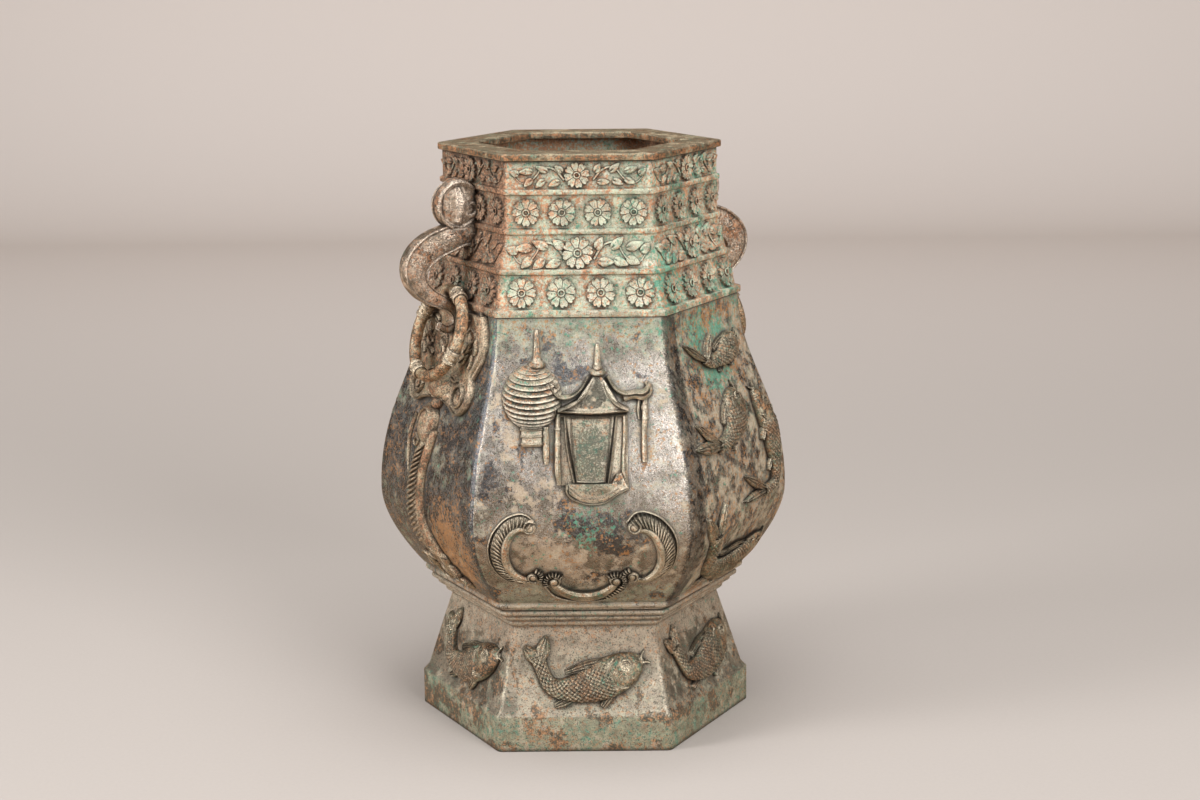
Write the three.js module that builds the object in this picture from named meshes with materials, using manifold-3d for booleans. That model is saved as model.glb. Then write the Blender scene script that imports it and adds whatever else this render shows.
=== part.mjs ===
// Hexagonal cast bronze vase with a banded neck, a pear-shaped body and a splayed foot.
// Two scroll handles carry loose rings, and relief castings are soldered to the walls.
// Sizes are millimetres. The vase stands on z = 0 with its front face towards -Y.
// A hexagon's radius runs from the axis to a corner, and two corners lie on the X axis.
import * as THREE from "three";
import { mergeVertices, toCreasedNormals } from "three/addons/utils/BufferGeometryUtils.js";
import { TessellateModifier } from "three/addons/modifiers/TessellateModifier.js";
import Module from "manifold-3d";

const wasm = await Module();
wasm.setup();

// All castings
const SIDES = 6;
const EDGE_ROUNDING = 3;
const EDGE_STEPS = 2;
const JOINT_GAP = 0.3;
const RELIEF_ROOT = 4;
const CREASE_ANGLE = 35;
const SHORTEST_EDGE = 0.02;

// The directions that the decorated faces look, as angles from the X axis
const FRONT_FACE = 270;
const FISH_FACE = 330;
const HANDLE_FACE = 210;

// Foot
const FOOT_RADIUS = 87;
const FOOT_BAND_HEIGHT = 18.5;
const FOOT_CHAMFER = 3;
const FOOT_THROAT_RADIUS = 70.5;
const FOOT_SPLAY_HEIGHT = 40.5;
const FOOT_WALL = 5;
const WAIST_BEAD_PROUD = 3.2;
const WAIST_BEAD_RISE = 1.4;
const WAIST_BEAD_HEIGHT = 2.4;
const WAIST_COVE_HEIGHT = 3.8;
const WAIST_STEP_RADIUS = 81.4;
const WAIST_STEP_HEIGHT = 3;

// Floor plate
const FLOOR_THICKNESS = 4;
const FLOOR_LANDING = 7;

// Body
const BODY_HEIGHT = 148.6;
const BODY_WALL = 4.5;
const BODY_EDGE_RADIUS = 84.8;
const BODY_EDGE_HEIGHT = 2.8;
const BODY_GROOVE_DEPTH = 4.4;
const BODY_GROOVE_HEIGHT = 2;
const BELLY_RADIUS = 107;
const BELLY_HEIGHT = 47;
const SHOULDER_RADIUS = 81.8;
const BELLY_PULLS = { edge: [0.42, 10], below: 0.64, above: 0.45, shoulder: 0.66 };
const FLANK_STEPS = 9;
const LINING_STEPS = 5;

// Neck. It stands a step in from the body's shoulder, and each level is set further in than
// its foot by the taper given for it.
const NECK_WALL = 4;
const NECK_STEP_IN = 0.8;
const NECK_TAPERS = [0, 5.3, 10.3, 10.7, 10.7];
const BAND_HEIGHTS = [21.3, 19.1, 19.2, 14.8];
const LEDGE_PROUD = 1.9;
const LEDGE_HEIGHT = 3.2;
const RIDGE_PROUD = 1.6;
const RIDGE_HEIGHT = 2.2;
const RIDGE_SLOPE = 0.6;

// Mouth rim
const RIM_PROUD = 2.3;
const RIM_WIDTH = 19.6;
const RIM_THICKNESS = 3.5;
const RIM_EASE = 0.6;

// Handles. Each station of the strap is its distance out from the wall at that height,
// its height above the ledge's underside, and the strap's width there.
const HANDLE_THICKNESS = 8.5;
const HANDLE_BEVEL = 1.7;
const HANDLE_STATIONS = [
  [-4, 36, 13],
  [6, 36.5, 13.5],
  [14, 34, 14],
  [23, 30, 14.5],
  [28.2, 23.5, 14],
  [28, 17.5, 12.6],
  [24.5, 11.5, 10.6],
  [18.5, 6.6, 8.6],
  [11.5, 3.2, 7.4],
  [4.6, 0, 6.4],
  [1.6, -5, 5.2],
  [2.6, -9.6, 4.8],
  [7, -11.2, 4.6],
  [11, -9.4, 4],
];
const STRAP_STEPS = 26;
const HEAD_RADIUS = 11.4;
const HEAD_THICKNESS = 12;
const HEAD_EASE = 2;
const HEAD_SIDES = 20;
const HEAD_REACH = 9.4;
const HEAD_HEIGHT = 50.6;

// Rings. The top bar lies in the finger gap and the lower bar leans on the escutcheon.
const RING_RADIUS = 22.3;
const RING_WIRE_RADIUS = 3;
const RING_LEAN = 21;
const RING_HEIGHT = 8;
const RING_SEAT_GAP = 2.6;
const RING_REST_GAP = 0.4;
const RING_SIDES = 8;
const RING_STEPS = 36;
const COLLARS = 4;
const COLLAR_PROUD = 0.5;
const COLLAR_HALF_ANGLE = 10;
const COLLAR_TURN = -23;

// Heights of the reliefs above their wall
const PLATE_RELIEF = 3.4;
const PLATE_MESH = 18;
const RING_BOSS_RELIEF = 10;
const ROUNDEL_RELIEF = 5;
const RIBBON_RELIEF = 4;
const RIBBON_BAND_RELIEF = 3;
const VOLUTE_RELIEF = 6.8;
const SCROLL_RELIEF = 4.2;
const SCROLL_BALL_RELIEF = 4.8;
const SCROLL_BLUNTNESS = 10;
const SCROLL_STEPS = 10;
const LANTERN_RELIEF = 5;
const PANEL_RELIEF = 2.8;
const FRAME_RELIEF = 4.5;
const TRAY_RELIEF = 4;
const GLOBE_RELIEF = 6;
const GLOBE_RIBS = 11;
const GLOBE_RIB_SHARE = 0.04;
const TASSEL_RELIEF = 3.2;
const EAVE_RELIEF = 7;
const FIN_RELIEF = 2;

// Fish. The girth is the half width of the body, as a share of its greatest, at each share of
// the way from the nose to the joint of the tail.
const FISH_RELIEF = 5;
const FISH_GIRTH = [
  [0.3, 0],
  [0.6, 0.06],
  [1, 0.28],
  [0.86, 0.45],
  [0.5, 0.7],
  [0.4, 0.85],
  [0.46, 1],
];
const FISH_STEPS = 11;

// Fins. A fin's root and tip are each a share of the way along the fish and a share of its half
// width towards the back. Widths and the eye's radius are shares of the fish's depth.
const FISH_FINS = [
  { root: [0.2, 0.55], tip: [0.62, 1.3], width: 0.26 },
  { root: [0.3, -0.6], tip: [0.4, -1.2], width: 0.16 },
  { root: [0.6, -0.6], tip: [0.7, -1.9], width: 0.16 },
];
const FIN_MIDDLE = 0.6;
const TAIL_ROOT = [0.94, 0];
const TAIL_LOBE_WIDTH = 0.34;
const FISH_EYE = [0.13, 0.35];
const FISH_EYE_RADIUS = 0.08;

// Levels where one casting stands on the next, from the floor up
const FOOT_THROAT = FOOT_BAND_HEIGHT + FOOT_CHAMFER + FOOT_SPLAY_HEIGHT;
const WAIST_STEP_BASE = FOOT_THROAT + WAIST_BEAD_RISE + WAIST_BEAD_HEIGHT + WAIST_COVE_HEIGHT;
const FOOT_TOP = WAIST_STEP_BASE + WAIST_STEP_HEIGHT;
const BODY_BASE = FOOT_TOP + JOINT_GAP;
const BODY_EDGE_TOP = BODY_BASE + BODY_GROOVE_HEIGHT + BODY_EDGE_HEIGHT;
const BELLY_LEVEL = BODY_BASE + BELLY_HEIGHT;
const BODY_TOP = BODY_BASE + BODY_HEIGHT;
const NECK_BASE = BODY_TOP + JOINT_GAP;
const NECK_LEVELS = [NECK_BASE];
for (const height of BAND_HEIGHTS) NECK_LEVELS.push(NECK_LEVELS.at(-1) + height);
const NECK_TOP = NECK_LEVELS.at(-1);
const RIM_BASE = NECK_TOP + JOINT_GAP;

const NECK_RADII = NECK_TAPERS.map((taper) => SHOULDER_RADIUS - NECK_STEP_IN - taper);
const RIM_RADIUS = NECK_RADII.at(-1) + RIM_PROUD;
const RIM_BORE_RADIUS = RIM_RADIUS - RIM_WIDTH;

const degrees = THREE.MathUtils.degToRad;
const FLAT_SHARE = Math.cos(Math.PI / SIDES);

// A horizontal distance between faces, as a difference of corner radii
function atCorner(distance) {
  return distance / FLAT_SHARE;
}

// Solids and meshes

function solidFrom(geometry) {
  const bare = geometry.clone();
  bare.deleteAttribute("normal");
  bare.deleteAttribute("uv");
  const merged = mergeVertices(bare, 1e-4);
  return new wasm.Manifold(
    new wasm.Mesh({
      numProp: 3,
      vertProperties: merged.attributes.position.array,
      triVerts: new Uint32Array(merged.index.array),
    }),
  );
}

function joined(...geometries) {
  return geometries.map(solidFrom).reduce((whole, part) => whole.add(part));
}

function geometryFrom(solid) {
  const { vertProperties, triVerts } = solid.simplify(SHORTEST_EDGE).getMesh();
  const geometry = new THREE.BufferGeometry();
  geometry.setAttribute("position", new THREE.BufferAttribute(vertProperties, 3));
  geometry.setIndex(new THREE.BufferAttribute(triVerts, 1));
  geometry.computeVertexNormals();
  return geometry;
}

// Cross-sections of the six-sided castings

// A closed profile of [corner radius, height] turned into a six-sided solid, whose upright
// edges are rounded
function hexagonal(profile) {
  const steps = EDGE_STEPS + 1;
  const sideAngle = (2 * Math.PI) / SIDES;
  const line = profile.map(([radius, height]) => new THREE.Vector2(radius, height));
  const geometry = new THREE.LatheGeometry(line, SIDES * steps, Math.PI / 2).rotateX(Math.PI / 2);
  const position = geometry.attributes.position;
  for (let i = 0; i < position.count; i++) {
    const radius = Math.hypot(position.getX(i), position.getY(i));
    if (radius < EDGE_ROUNDING) continue;
    const turned = Math.atan2(position.getY(i), position.getX(i));
    const column = Math.round((turned / sideAngle) * steps);
    const corner = Math.round(column / steps);
    const cornerAngle = corner * sideAngle;
    const arcAngle = cornerAngle + ((column - corner * steps) / EDGE_STEPS) * sideAngle;
    const centre = radius - atCorner(EDGE_ROUNDING);
    position.setX(i, centre * Math.cos(cornerAngle) + EDGE_ROUNDING * Math.cos(arcAngle));
    position.setY(i, centre * Math.sin(cornerAngle) + EDGE_ROUNDING * Math.sin(arcAngle));
  }
  return geometry;
}

const footWall = [
  [FOOT_RADIUS, 0],
  [FOOT_RADIUS, FOOT_BAND_HEIGHT],
  [FOOT_RADIUS - FOOT_CHAMFER, FOOT_BAND_HEIGHT + FOOT_CHAMFER],
  [FOOT_THROAT_RADIUS, FOOT_THROAT],
];

const waistBead = FOOT_THROAT_RADIUS + WAIST_BEAD_PROUD;
const waistLine = [
  [waistBead, FOOT_THROAT + WAIST_BEAD_RISE],
  [waistBead, FOOT_THROAT + WAIST_BEAD_RISE + WAIST_BEAD_HEIGHT],
  [WAIST_STEP_RADIUS, WAIST_STEP_BASE],
  [WAIST_STEP_RADIUS, FOOT_TOP],
];

// The pear shape is two Bezier curves that meet upright at the belly. Each pull is the share
// of the way from one end of its curve to the other where a control point lies.
function bodyCurve(inset, steps) {
  const { lerp } = THREE.MathUtils;
  const corner = (radius, height) => new THREE.Vector2(radius - inset, height);
  const [edgePull, edgeRise] = BELLY_PULLS.edge;
  const under = new THREE.CubicBezierCurve(
    corner(BODY_EDGE_RADIUS, BODY_EDGE_TOP),
    corner(lerp(BODY_EDGE_RADIUS, BELLY_RADIUS, edgePull), BODY_EDGE_TOP + edgeRise),
    corner(BELLY_RADIUS, lerp(BODY_EDGE_TOP, BELLY_LEVEL, BELLY_PULLS.below)),
    corner(BELLY_RADIUS, BELLY_LEVEL),
  );
  const over = new THREE.CubicBezierCurve(
    corner(BELLY_RADIUS, BELLY_LEVEL),
    corner(BELLY_RADIUS, lerp(BELLY_LEVEL, BODY_TOP, BELLY_PULLS.above)),
    corner(SHOULDER_RADIUS, lerp(BELLY_LEVEL, BODY_TOP, BELLY_PULLS.shoulder)),
    corner(SHOULDER_RADIUS, BODY_TOP),
  );
  return [...under.getPoints(steps), ...over.getPoints(steps).slice(1)].map(({ x, y }) => [x, y]);
}

const bodyWall = bodyCurve(0, FLANK_STEPS);
const bodyEdge = [
  [BODY_EDGE_RADIUS - BODY_GROOVE_DEPTH, BODY_BASE],
  [BODY_EDGE_RADIUS - BODY_GROOVE_DEPTH, BODY_BASE + BODY_GROOVE_HEIGHT],
  [BODY_EDGE_RADIUS, BODY_BASE + BODY_GROOVE_HEIGHT],
];

// The neck line without its mouldings, then the same line with the ledge and ridges on it
const neckLine = NECK_RADII.map((radius, i) => [radius, NECK_LEVELS[i]]);

function radiusOn(line, height) {
  const above = Math.max(1, Math.min(line.length - 1, line.findIndex(([, level]) => level >= height)));
  const upper = height > line.at(-1)[1] ? line.length - 1 : above;
  const [[lowRadius, low], [highRadius, high]] = [line[upper - 1], line[upper]];
  return THREE.MathUtils.mapLinear(height, low, high, lowRadius, highRadius);
}

function ridgeAt(level) {
  const [low, high] = [level - RIDGE_HEIGHT / 2, level + RIDGE_HEIGHT / 2];
  const proud = radiusOn(neckLine, level) + RIDGE_PROUD;
  return [
    [radiusOn(neckLine, low - RIDGE_SLOPE), low - RIDGE_SLOPE],
    [proud, low],
    [proud, high],
    [radiusOn(neckLine, high + RIDGE_SLOPE), high + RIDGE_SLOPE],
  ];
}

const ledgeRadius = NECK_RADII[0] + LEDGE_PROUD;
const neckWall = [
  [ledgeRadius, NECK_BASE],
  [ledgeRadius, NECK_BASE + LEDGE_HEIGHT],
  [radiusOn(neckLine, NECK_BASE + LEDGE_HEIGHT + RIDGE_SLOPE), NECK_BASE + LEDGE_HEIGHT + RIDGE_SLOPE],
  ...NECK_LEVELS.slice(1, -1).flatMap(ridgeAt),
  [NECK_RADII.at(-1), NECK_TOP],
];

const rimWall = [
  [RIM_RADIUS - RIM_EASE, RIM_BASE],
  [RIM_RADIUS, RIM_BASE + RIM_EASE],
  [RIM_RADIUS, RIM_BASE + RIM_THICKNESS - RIM_EASE],
  [RIM_RADIUS - RIM_EASE, RIM_BASE + RIM_THICKNESS],
];

// What every casting on the outside is cut back to: the whole outer wall, one joint gap larger
const wholeWall = [footWall, waistLine, bodyEdge, bodyWall, neckWall, rimWall].flat();
const clearLine = wholeWall.map(([radius, height]) => [radius + atCorner(JOINT_GAP), height]);
const clearWall = solidFrom(
  hexagonal([[0, -RELIEF_ROOT], ...clearLine, [0, RIM_BASE + RIM_THICKNESS]]),
);

// Castings of the vase itself

function footCasting() {
  const inset = atCorner(FOOT_WALL);
  const throat = FOOT_THROAT_RADIUS - inset;
  return solidFrom(
    hexagonal([
      ...footWall,
      ...waistLine,
      [throat, FOOT_TOP],
      [throat, FOOT_THROAT],
      [FOOT_RADIUS - FOOT_CHAMFER - inset, FOOT_BAND_HEIGHT],
      [FOOT_RADIUS - FOOT_CHAMFER - inset, 0],
      footWall[0],
    ]),
  );
}

const floorRadius = FOOT_THROAT_RADIUS - atCorner(FOOT_WALL) + FLOOR_LANDING;

function floorPlate() {
  return solidFrom(
    hexagonal([
      [0, BODY_BASE],
      [floorRadius, BODY_BASE],
      [floorRadius, BODY_BASE + FLOOR_THICKNESS],
      [0, BODY_BASE + FLOOR_THICKNESS],
    ]),
  );
}

function bodyCasting() {
  const opening = floorRadius + atCorner(JOINT_GAP);
  const lining = bodyCurve(atCorner(BODY_WALL), LINING_STEPS).slice(1);
  return solidFrom(
    hexagonal([
      ...bodyEdge,
      ...bodyWall,
      ...lining.reverse(),
      [opening, BODY_EDGE_TOP],
      [opening, BODY_BASE],
      bodyEdge[0],
    ]),
  );
}

function neckCasting() {
  const lining = neckLine.map(([radius, height]) => [radius - atCorner(NECK_WALL), height]).reverse();
  return solidFrom(hexagonal([...neckWall, ...lining, neckWall[0]]));
}

function mouthRim() {
  const top = RIM_BASE + RIM_THICKNESS;
  return solidFrom(
    hexagonal([
      ...rimWall,
      [RIM_BORE_RADIUS + RIM_EASE, top],
      [RIM_BORE_RADIUS, top - RIM_EASE],
      [RIM_BORE_RADIUS, RIM_BASE],
      rimWall[0],
    ]),
  );
}

// Placing castings on the walls

// Distance from the axis to the flat of the wall whose corner line is given
function flatOn(line, height) {
  return radiusOn(line, height) * FLAT_SHARE;
}

// Moves a shape drawn as x across, y up and z out of the wall onto the face that looks towards
// the angle, and fits it to the face
function ontoWall(geometry, faceAngle, face) {
  const out = new THREE.Vector2(Math.cos(degrees(faceAngle)), Math.sin(degrees(faceAngle)));
  const [spread, rise] = face.size.map((length, i) => length / face.drawnFor[i]);
  const position = geometry.attributes.position;
  for (let i = 0; i < position.count; i++) {
    const [across, level] = [position.getX(i) * spread, face.base + position.getY(i) * rise];
    const reach = flatOn(face.line, level) + position.getZ(i);
    position.setXYZ(i, reach * out.x - across * out.y, reach * out.y + across * out.x, level);
  }
  return geometry;
}

// A flat shape standing out of the wall by the given relief, rooted below the wall's surface
function plate(shape, relief, bevel, clearance = 0) {
  return new THREE.ExtrudeGeometry(shape, {
    depth: RELIEF_ROOT + relief + clearance - bevel,
    bevelEnabled: bevel > 0,
    bevelThickness: bevel,
    bevelSize: bevel,
    bevelOffset: clearance - bevel,
    bevelSegments: 1,
    curveSegments: 3,
  }).translate(0, 0, -RELIEF_ROOT);
}

function points(...pairs) {
  return pairs.map(([x, y]) => new THREE.Vector2(x, y));
}

function outline(...pairs) {
  return new THREE.Shape(points(...pairs));
}

// A half-round bar laid along a path on the wall. The size is its half width and its relief
// at a share of the way along the path.
function bar(path, steps, sizeAt, sides = 8) {
  const sleeve = Array.from({ length: steps + 1 }, (_, i) => new THREE.Vector2(1, i / steps));
  const geometry = new THREE.LatheGeometry([...points([0, 0]), ...sleeve, ...points([0, 1])], sides);
  const position = geometry.attributes.position;
  for (let i = 0; i < position.count; i++) {
    const along = THREE.MathUtils.clamp(position.getY(i), 0, 1);
    const at = path.getPointAt(along);
    const ahead = path.getTangentAt(along);
    const [halfWidth, relief] = sizeAt(along);
    const across = position.getX(i) * halfWidth;
    position.setXYZ(i, at.x + ahead.y * across, at.y - ahead.x * across, position.getZ(i) * relief);
  }
  return geometry;
}

// A bar that narrows in a straight line from one half width to the other
function taper(pathPoints, steps, startWidth, endWidth, relief, sides = 6) {
  const path = new THREE.SplineCurve(points(...pathPoints));
  const size = (along) => [THREE.MathUtils.lerp(startWidth, endWidth, along), relief];
  return bar(path, steps, size, sides);
}

function dome(x, y, halfWidth, halfHeight, relief, sides = 8) {
  return new THREE.SphereGeometry(1, sides, 4).scale(halfWidth, halfHeight, relief).translate(x, y, 0);
}

// The faces that carry reliefs. Heights on a face are measured from its base. A face's size is
// the corner radius at its top and its height. The reliefs are drawn for the size beside it,
// and spread or shrink with the face.
const bodyFace = {
  line: bodyWall,
  base: BODY_BASE,
  size: [SHOULDER_RADIUS, BODY_HEIGHT],
  drawnFor: [81.8, 148.6],
};
const footFace = {
  line: footWall,
  base: 0,
  size: [FOOT_THROAT_RADIUS, FOOT_THROAT],
  drawnFor: [70.5, 62],
};

// One casting soldered to a face: its shapes are laid on the wall, joined and cut back to it
function seated(shapes, faceAngle, face) {
  return joined(...shapes.map((shape) => ontoWall(shape, faceAngle, face))).subtract(clearWall);
}

// Handles and rings

const outsideLine = [...bodyWall, ...neckLine];

// Turns a shape drawn as x across, y up and z away from the axis towards the given angle
function towards(geometry, faceAngle) {
  const [x, y] = [Math.cos(degrees(faceAngle)), Math.sin(degrees(faceAngle))];
  const across = new THREE.Vector3(-y, x, 0);
  const out = new THREE.Vector3(x, y, 0);
  return geometry.applyMatrix4(new THREE.Matrix4().makeBasis(across, new THREE.Vector3(0, 0, 1), out));
}

// The strap seen from its side, with x away from the axis and y up
function strapShape(clearance) {
  const stations = HANDLE_STATIONS.map(([reach, height, width]) => {
    const level = NECK_BASE + height;
    return new THREE.Vector3(flatOn(outsideLine, level) + reach, level, width / 2 + clearance);
  });
  const centreLine = new THREE.CatmullRomCurve3(stations);
  const [above, below] = [[], []];
  for (let i = 0; i <= STRAP_STEPS; i++) {
    const at = centreLine.getPointAt(i / STRAP_STEPS);
    const ahead = centreLine.getTangentAt(i / STRAP_STEPS).setZ(0).normalize();
    above.push([at.x - ahead.y * at.z, at.y + ahead.x * at.z]);
    below.push([at.x + ahead.y * at.z, at.y - ahead.x * at.z]);
  }
  return outline(...above, ...below.reverse());
}

function strap(faceAngle, clearance = 0) {
  const thickness = HANDLE_THICKNESS + 2 * clearance;
  const geometry = new THREE.ExtrudeGeometry(strapShape(clearance), {
    depth: thickness - 2 * HANDLE_BEVEL,
    bevelThickness: HANDLE_BEVEL,
    bevelSize: HANDLE_BEVEL,
    bevelOffset: -HANDLE_BEVEL,
    bevelSegments: 1,
  });
  geometry.translate(0, 0, HANDLE_BEVEL - thickness / 2).rotateY(-Math.PI / 2);
  return towards(geometry, faceAngle);
}

function handleHead(faceAngle) {
  const half = HEAD_THICKNESS / 2;
  const button = points(
    [0, -half],
    [HEAD_RADIUS - HEAD_EASE, -half],
    [HEAD_RADIUS, HEAD_EASE - half],
    [HEAD_RADIUS, half - HEAD_EASE],
    [HEAD_RADIUS - HEAD_EASE, half],
    [0, half],
  );
  const level = NECK_BASE + HEAD_HEIGHT;
  const geometry = new THREE.LatheGeometry(button, HEAD_SIDES).rotateZ(Math.PI / 2);
  return towards(geometry.translate(0, level, flatOn(neckLine, level) + HEAD_REACH), faceAngle);
}

function handle(faceAngle) {
  return joined(strap(faceAngle), handleHead(faceAngle)).subtract(clearWall);
}

const ringLevel = NECK_BASE + RING_HEIGHT;
const ringReach = flatOn(neckLine, ringLevel) + RING_WIRE_RADIUS + RING_SEAT_GAP;

// A ring at rest. Its wire is thicker at the collars.
function ring(faceAngle, clearance = 0) {
  const wire = RING_WIRE_RADIUS + clearance;
  const geometry = new THREE.TorusGeometry(RING_RADIUS, wire, RING_SIDES, RING_STEPS);
  const position = geometry.attributes.position;
  const collarSpacing = 360 / COLLARS;
  for (let i = 0; i < position.count; i++) {
    const vertex = new THREE.Vector3().fromBufferAttribute(position, i);
    const centre = vertex.clone().setZ(0).setLength(RING_RADIUS);
    const turned = THREE.MathUtils.radToDeg(Math.atan2(vertex.y, vertex.x));
    const fromCollar = turned - Math.round(turned / collarSpacing) * collarSpacing;
    if (Math.abs(fromCollar) > COLLAR_HALF_ANGLE) continue;
    vertex.sub(centre).setLength(wire + COLLAR_PROUD).add(centre);
    position.setXYZ(i, vertex.x, vertex.y, vertex.z);
  }
  const lean = degrees(RING_LEAN);
  const [drop, swing] = [RING_RADIUS * Math.cos(lean), RING_RADIUS * Math.sin(lean)];
  geometry.rotateZ(degrees(COLLAR_TURN)).rotateX(-lean);
  geometry.translate(0, ringLevel - drop, ringReach + swing);
  return towards(geometry, faceAngle);
}

// The plate behind a ring: a cloud-edged shield with a boss for the ring and two roundels
function escutcheon(faceAngle) {
  const edge = [
    [33, 147.6],
    [36, 134],
    [34.5, 126],
    [29.5, 116.5],
    [32.5, 110],
    [31, 103],
    [25, 98.5],
    [16, 101],
    [8, 102.5],
  ];
  const otherEdge = edge.map(([across, height]) => [-across, height]).reverse();
  const shield = new TessellateModifier(PLATE_MESH).modify(
    plate(outline(...edge, ...otherEdge), PLATE_RELIEF, 1),
  );
  const roundels = [-1, 1].map((side) => dome(side * 22, 107.5, 7.5, 7.5, ROUNDEL_RELIEF));
  const boss = dome(0, 112, 15, 8.5, RING_BOSS_RELIEF, 10);
  return seated([shield, boss, ...roundels], faceAngle, bodyFace)
    .subtract(solidFrom(ring(faceAngle, RING_REST_GAP)))
    .subtract(solidFrom(strap(faceAngle, JOINT_GAP)));
}

// A hanging ribbon: a volute, a waved band with a raised border, and clouds at its foot
function ribbon(faceAngle) {
  const band = new THREE.SplineCurve(
    points([-4, 88], [-6, 77], [-9, 66], [-9.5, 50], [-9, 40], [-7, 30], [-3, 20], [3, 12]),
  );
  const border = new THREE.SplineCurve(
    points([4, 88], [1.5, 77], [-1.5, 66], [-2.5, 50], [-1, 40], [4, 30], [9, 20], [14, 13]),
  );
  const clouds = [
    dome(-13, 15, 7, 7, RIBBON_RELIEF),
    dome(1, 12.5, 10, 6, RIBBON_RELIEF),
    dome(14, 14, 8, 6, RIBBON_RELIEF),
  ];
  const shapes = [
    bar(band, 9, (along) => [9 + 5 * along * along, RIBBON_BAND_RELIEF]),
    bar(border, 9, () => [2.4, RIBBON_RELIEF], 6),
    dome(-5, 90, 9.5, 10, VOLUTE_RELIEF, 12),
    ...clouds,
  ];
  return seated(shapes, faceAngle, bodyFace);
}

// The parts of the palace lantern that lie over the side of the globe lantern: the box, the
// roof, the eave that curls up and the tassel below it
function palaceSide(clearance = 0) {
  const roof = outline([-12, 108.6], [-11, 103.2], [22.4, 103.2], [24, 108]);
  roof.quadraticCurveTo(13.5, 112, 10.6, 121.5);
  roof.lineTo(5.4, 121.5);
  roof.quadraticCurveTo(2.2, 111.5, -12, 108.6);
  const box = outline([-12.5, 104], [-8, 69], [22, 69], [22.8, 104]);
  const eave = [[-7, 108.5], [-11, 110.5], [-14.4, 114], [-15.8, 118.5 + clearance]];
  const tassel = [[-11.2, 106], [-11.2, 88], [-11.2, 71]];
  return [
    plate(box, PANEL_RELIEF, 0.6, clearance),
    plate(roof, LANTERN_RELIEF, 0.8, clearance),
    taper(eave, 6, 2.2 + clearance, 1.5 + clearance, EAVE_RELIEF + clearance),
    taper(tassel, 4, 1.8 + clearance, 1.6 + clearance, TASSEL_RELIEF + clearance),
  ];
}

function globeLantern(faceAngle) {
  const [centreX, centreY, halfWidth, halfHeight] = [-23.5, 110.4, 14.2, 15.3];
  const ripples = Array.from({ length: 2 * GLOBE_RIBS + 1 }, (_, i) => {
    const latitude = THREE.MathUtils.lerp(-Math.PI / 2, Math.PI / 2, i / (2 * GLOBE_RIBS));
    const swell = i % 2 ? 1 + GLOBE_RIB_SHARE : 1 - GLOBE_RIB_SHARE;
    return new THREE.Vector2(Math.abs(Math.cos(latitude)) * swell, Math.sin(latitude));
  });
  ripples[0].x = 0;
  ripples.at(-1).x = 0;
  const globe = new THREE.LatheGeometry(ripples, 12)
    .scale(halfWidth, halfHeight, GLOBE_RELIEF)
    .translate(centreX, centreY, 0);
  const collar = outline([-28.6, 87.5], [-18.4, 87.5], [-18.4, 98], [-28.6, 98]);
  const shapes = [
    globe,
    dome(-22.4, 125.4, 4, 2, TRAY_RELIEF, 8),
    taper([[-22.4, 124], [-22, 133], [-21.4, 142]], 3, 1.8, 0.8, TASSEL_RELIEF),
    plate(collar, TRAY_RELIEF, 0.8),
    taper([[-17.4, 99], [-17.2, 90], [-17.4, 81]], 3, 2, 1.6, TASSEL_RELIEF),
  ];
  const covered = palaceSide(JOINT_GAP).map((shape) => ontoWall(shape, faceAngle, bodyFace));
  return seated(shapes, faceAngle, bodyFace).subtract(joined(...covered));
}

function palaceLantern(faceAngle) {
  const frame = outline([-6.2, 104], [15.3, 104], [12.5, 70], [-2.9, 70]);
  frame.holes.push(new THREE.Path(points([-3.6, 100.5], [-0.6, 73.5], [10.2, 73.5], [12.7, 100.5])));
  const tray = outline([-8, 71], [-5.4, 64.4], [5, 61.4], [15.8, 64.4], [23, 69.4], [19.4, 71]);
  const shapes = [
    ...palaceSide(),
    plate(frame, FRAME_RELIEF, 0.6),
    plate(tray, TRAY_RELIEF, 0.8),
    dome(8, 122.6, 3.6, 2.4, LANTERN_RELIEF, 8),
    taper([[8, 122], [8, 129], [8, 135.3]], 3, 2.2, 0.8, TASSEL_RELIEF),
    taper([[20, 109], [25, 112.4], [30, 113.6], [34.4, 116.6]], 6, 2.6, 2, LANTERN_RELIEF),
    taper([[32.4, 114], [32, 102], [31.4, 90], [30.8, 80]], 5, 2.4, 1.6, TASSEL_RELIEF),
  ];
  return seated(shapes, faceAngle, bodyFace);
}

// Scrolls of the cartouche: a bar of even width with blunt ends, and a ball in each curl
function scroll({ path, halfWidth, balls }, faceAngle) {
  const blunt = (along) => halfWidth * Math.sqrt(1 - Math.abs(2 * along - 1) ** SCROLL_BLUNTNESS);
  const size = (along) => [Math.max(blunt(along), halfWidth / 3), SCROLL_RELIEF];
  const shapes = [
    bar(new THREE.SplineCurve(points(...path)), SCROLL_STEPS, size),
    ...balls.map(([x, y, radius]) => dome(x, y, radius, radius, SCROLL_BALL_RELIEF, 8)),
  ];
  return seated(shapes, faceAngle, bodyFace);
}

// A leaf-shaped fin between two points
function fin(root, tip, width) {
  const aside = tip.clone().sub(root).normalize().rotateAround(new THREE.Vector2(), Math.PI / 2);
  const middle = root.clone().lerp(tip, FIN_MIDDLE);
  const shape = new THREE.Shape([root]);
  for (const [swing, end] of [[-width, tip], [width, root]]) {
    const control = middle.clone().addScaledVector(aside, swing);
    shape.quadraticCurveTo(control.x, control.y, end.x, end.y);
  }
  return plate(shape, FIN_RELIEF, 0);
}

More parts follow.
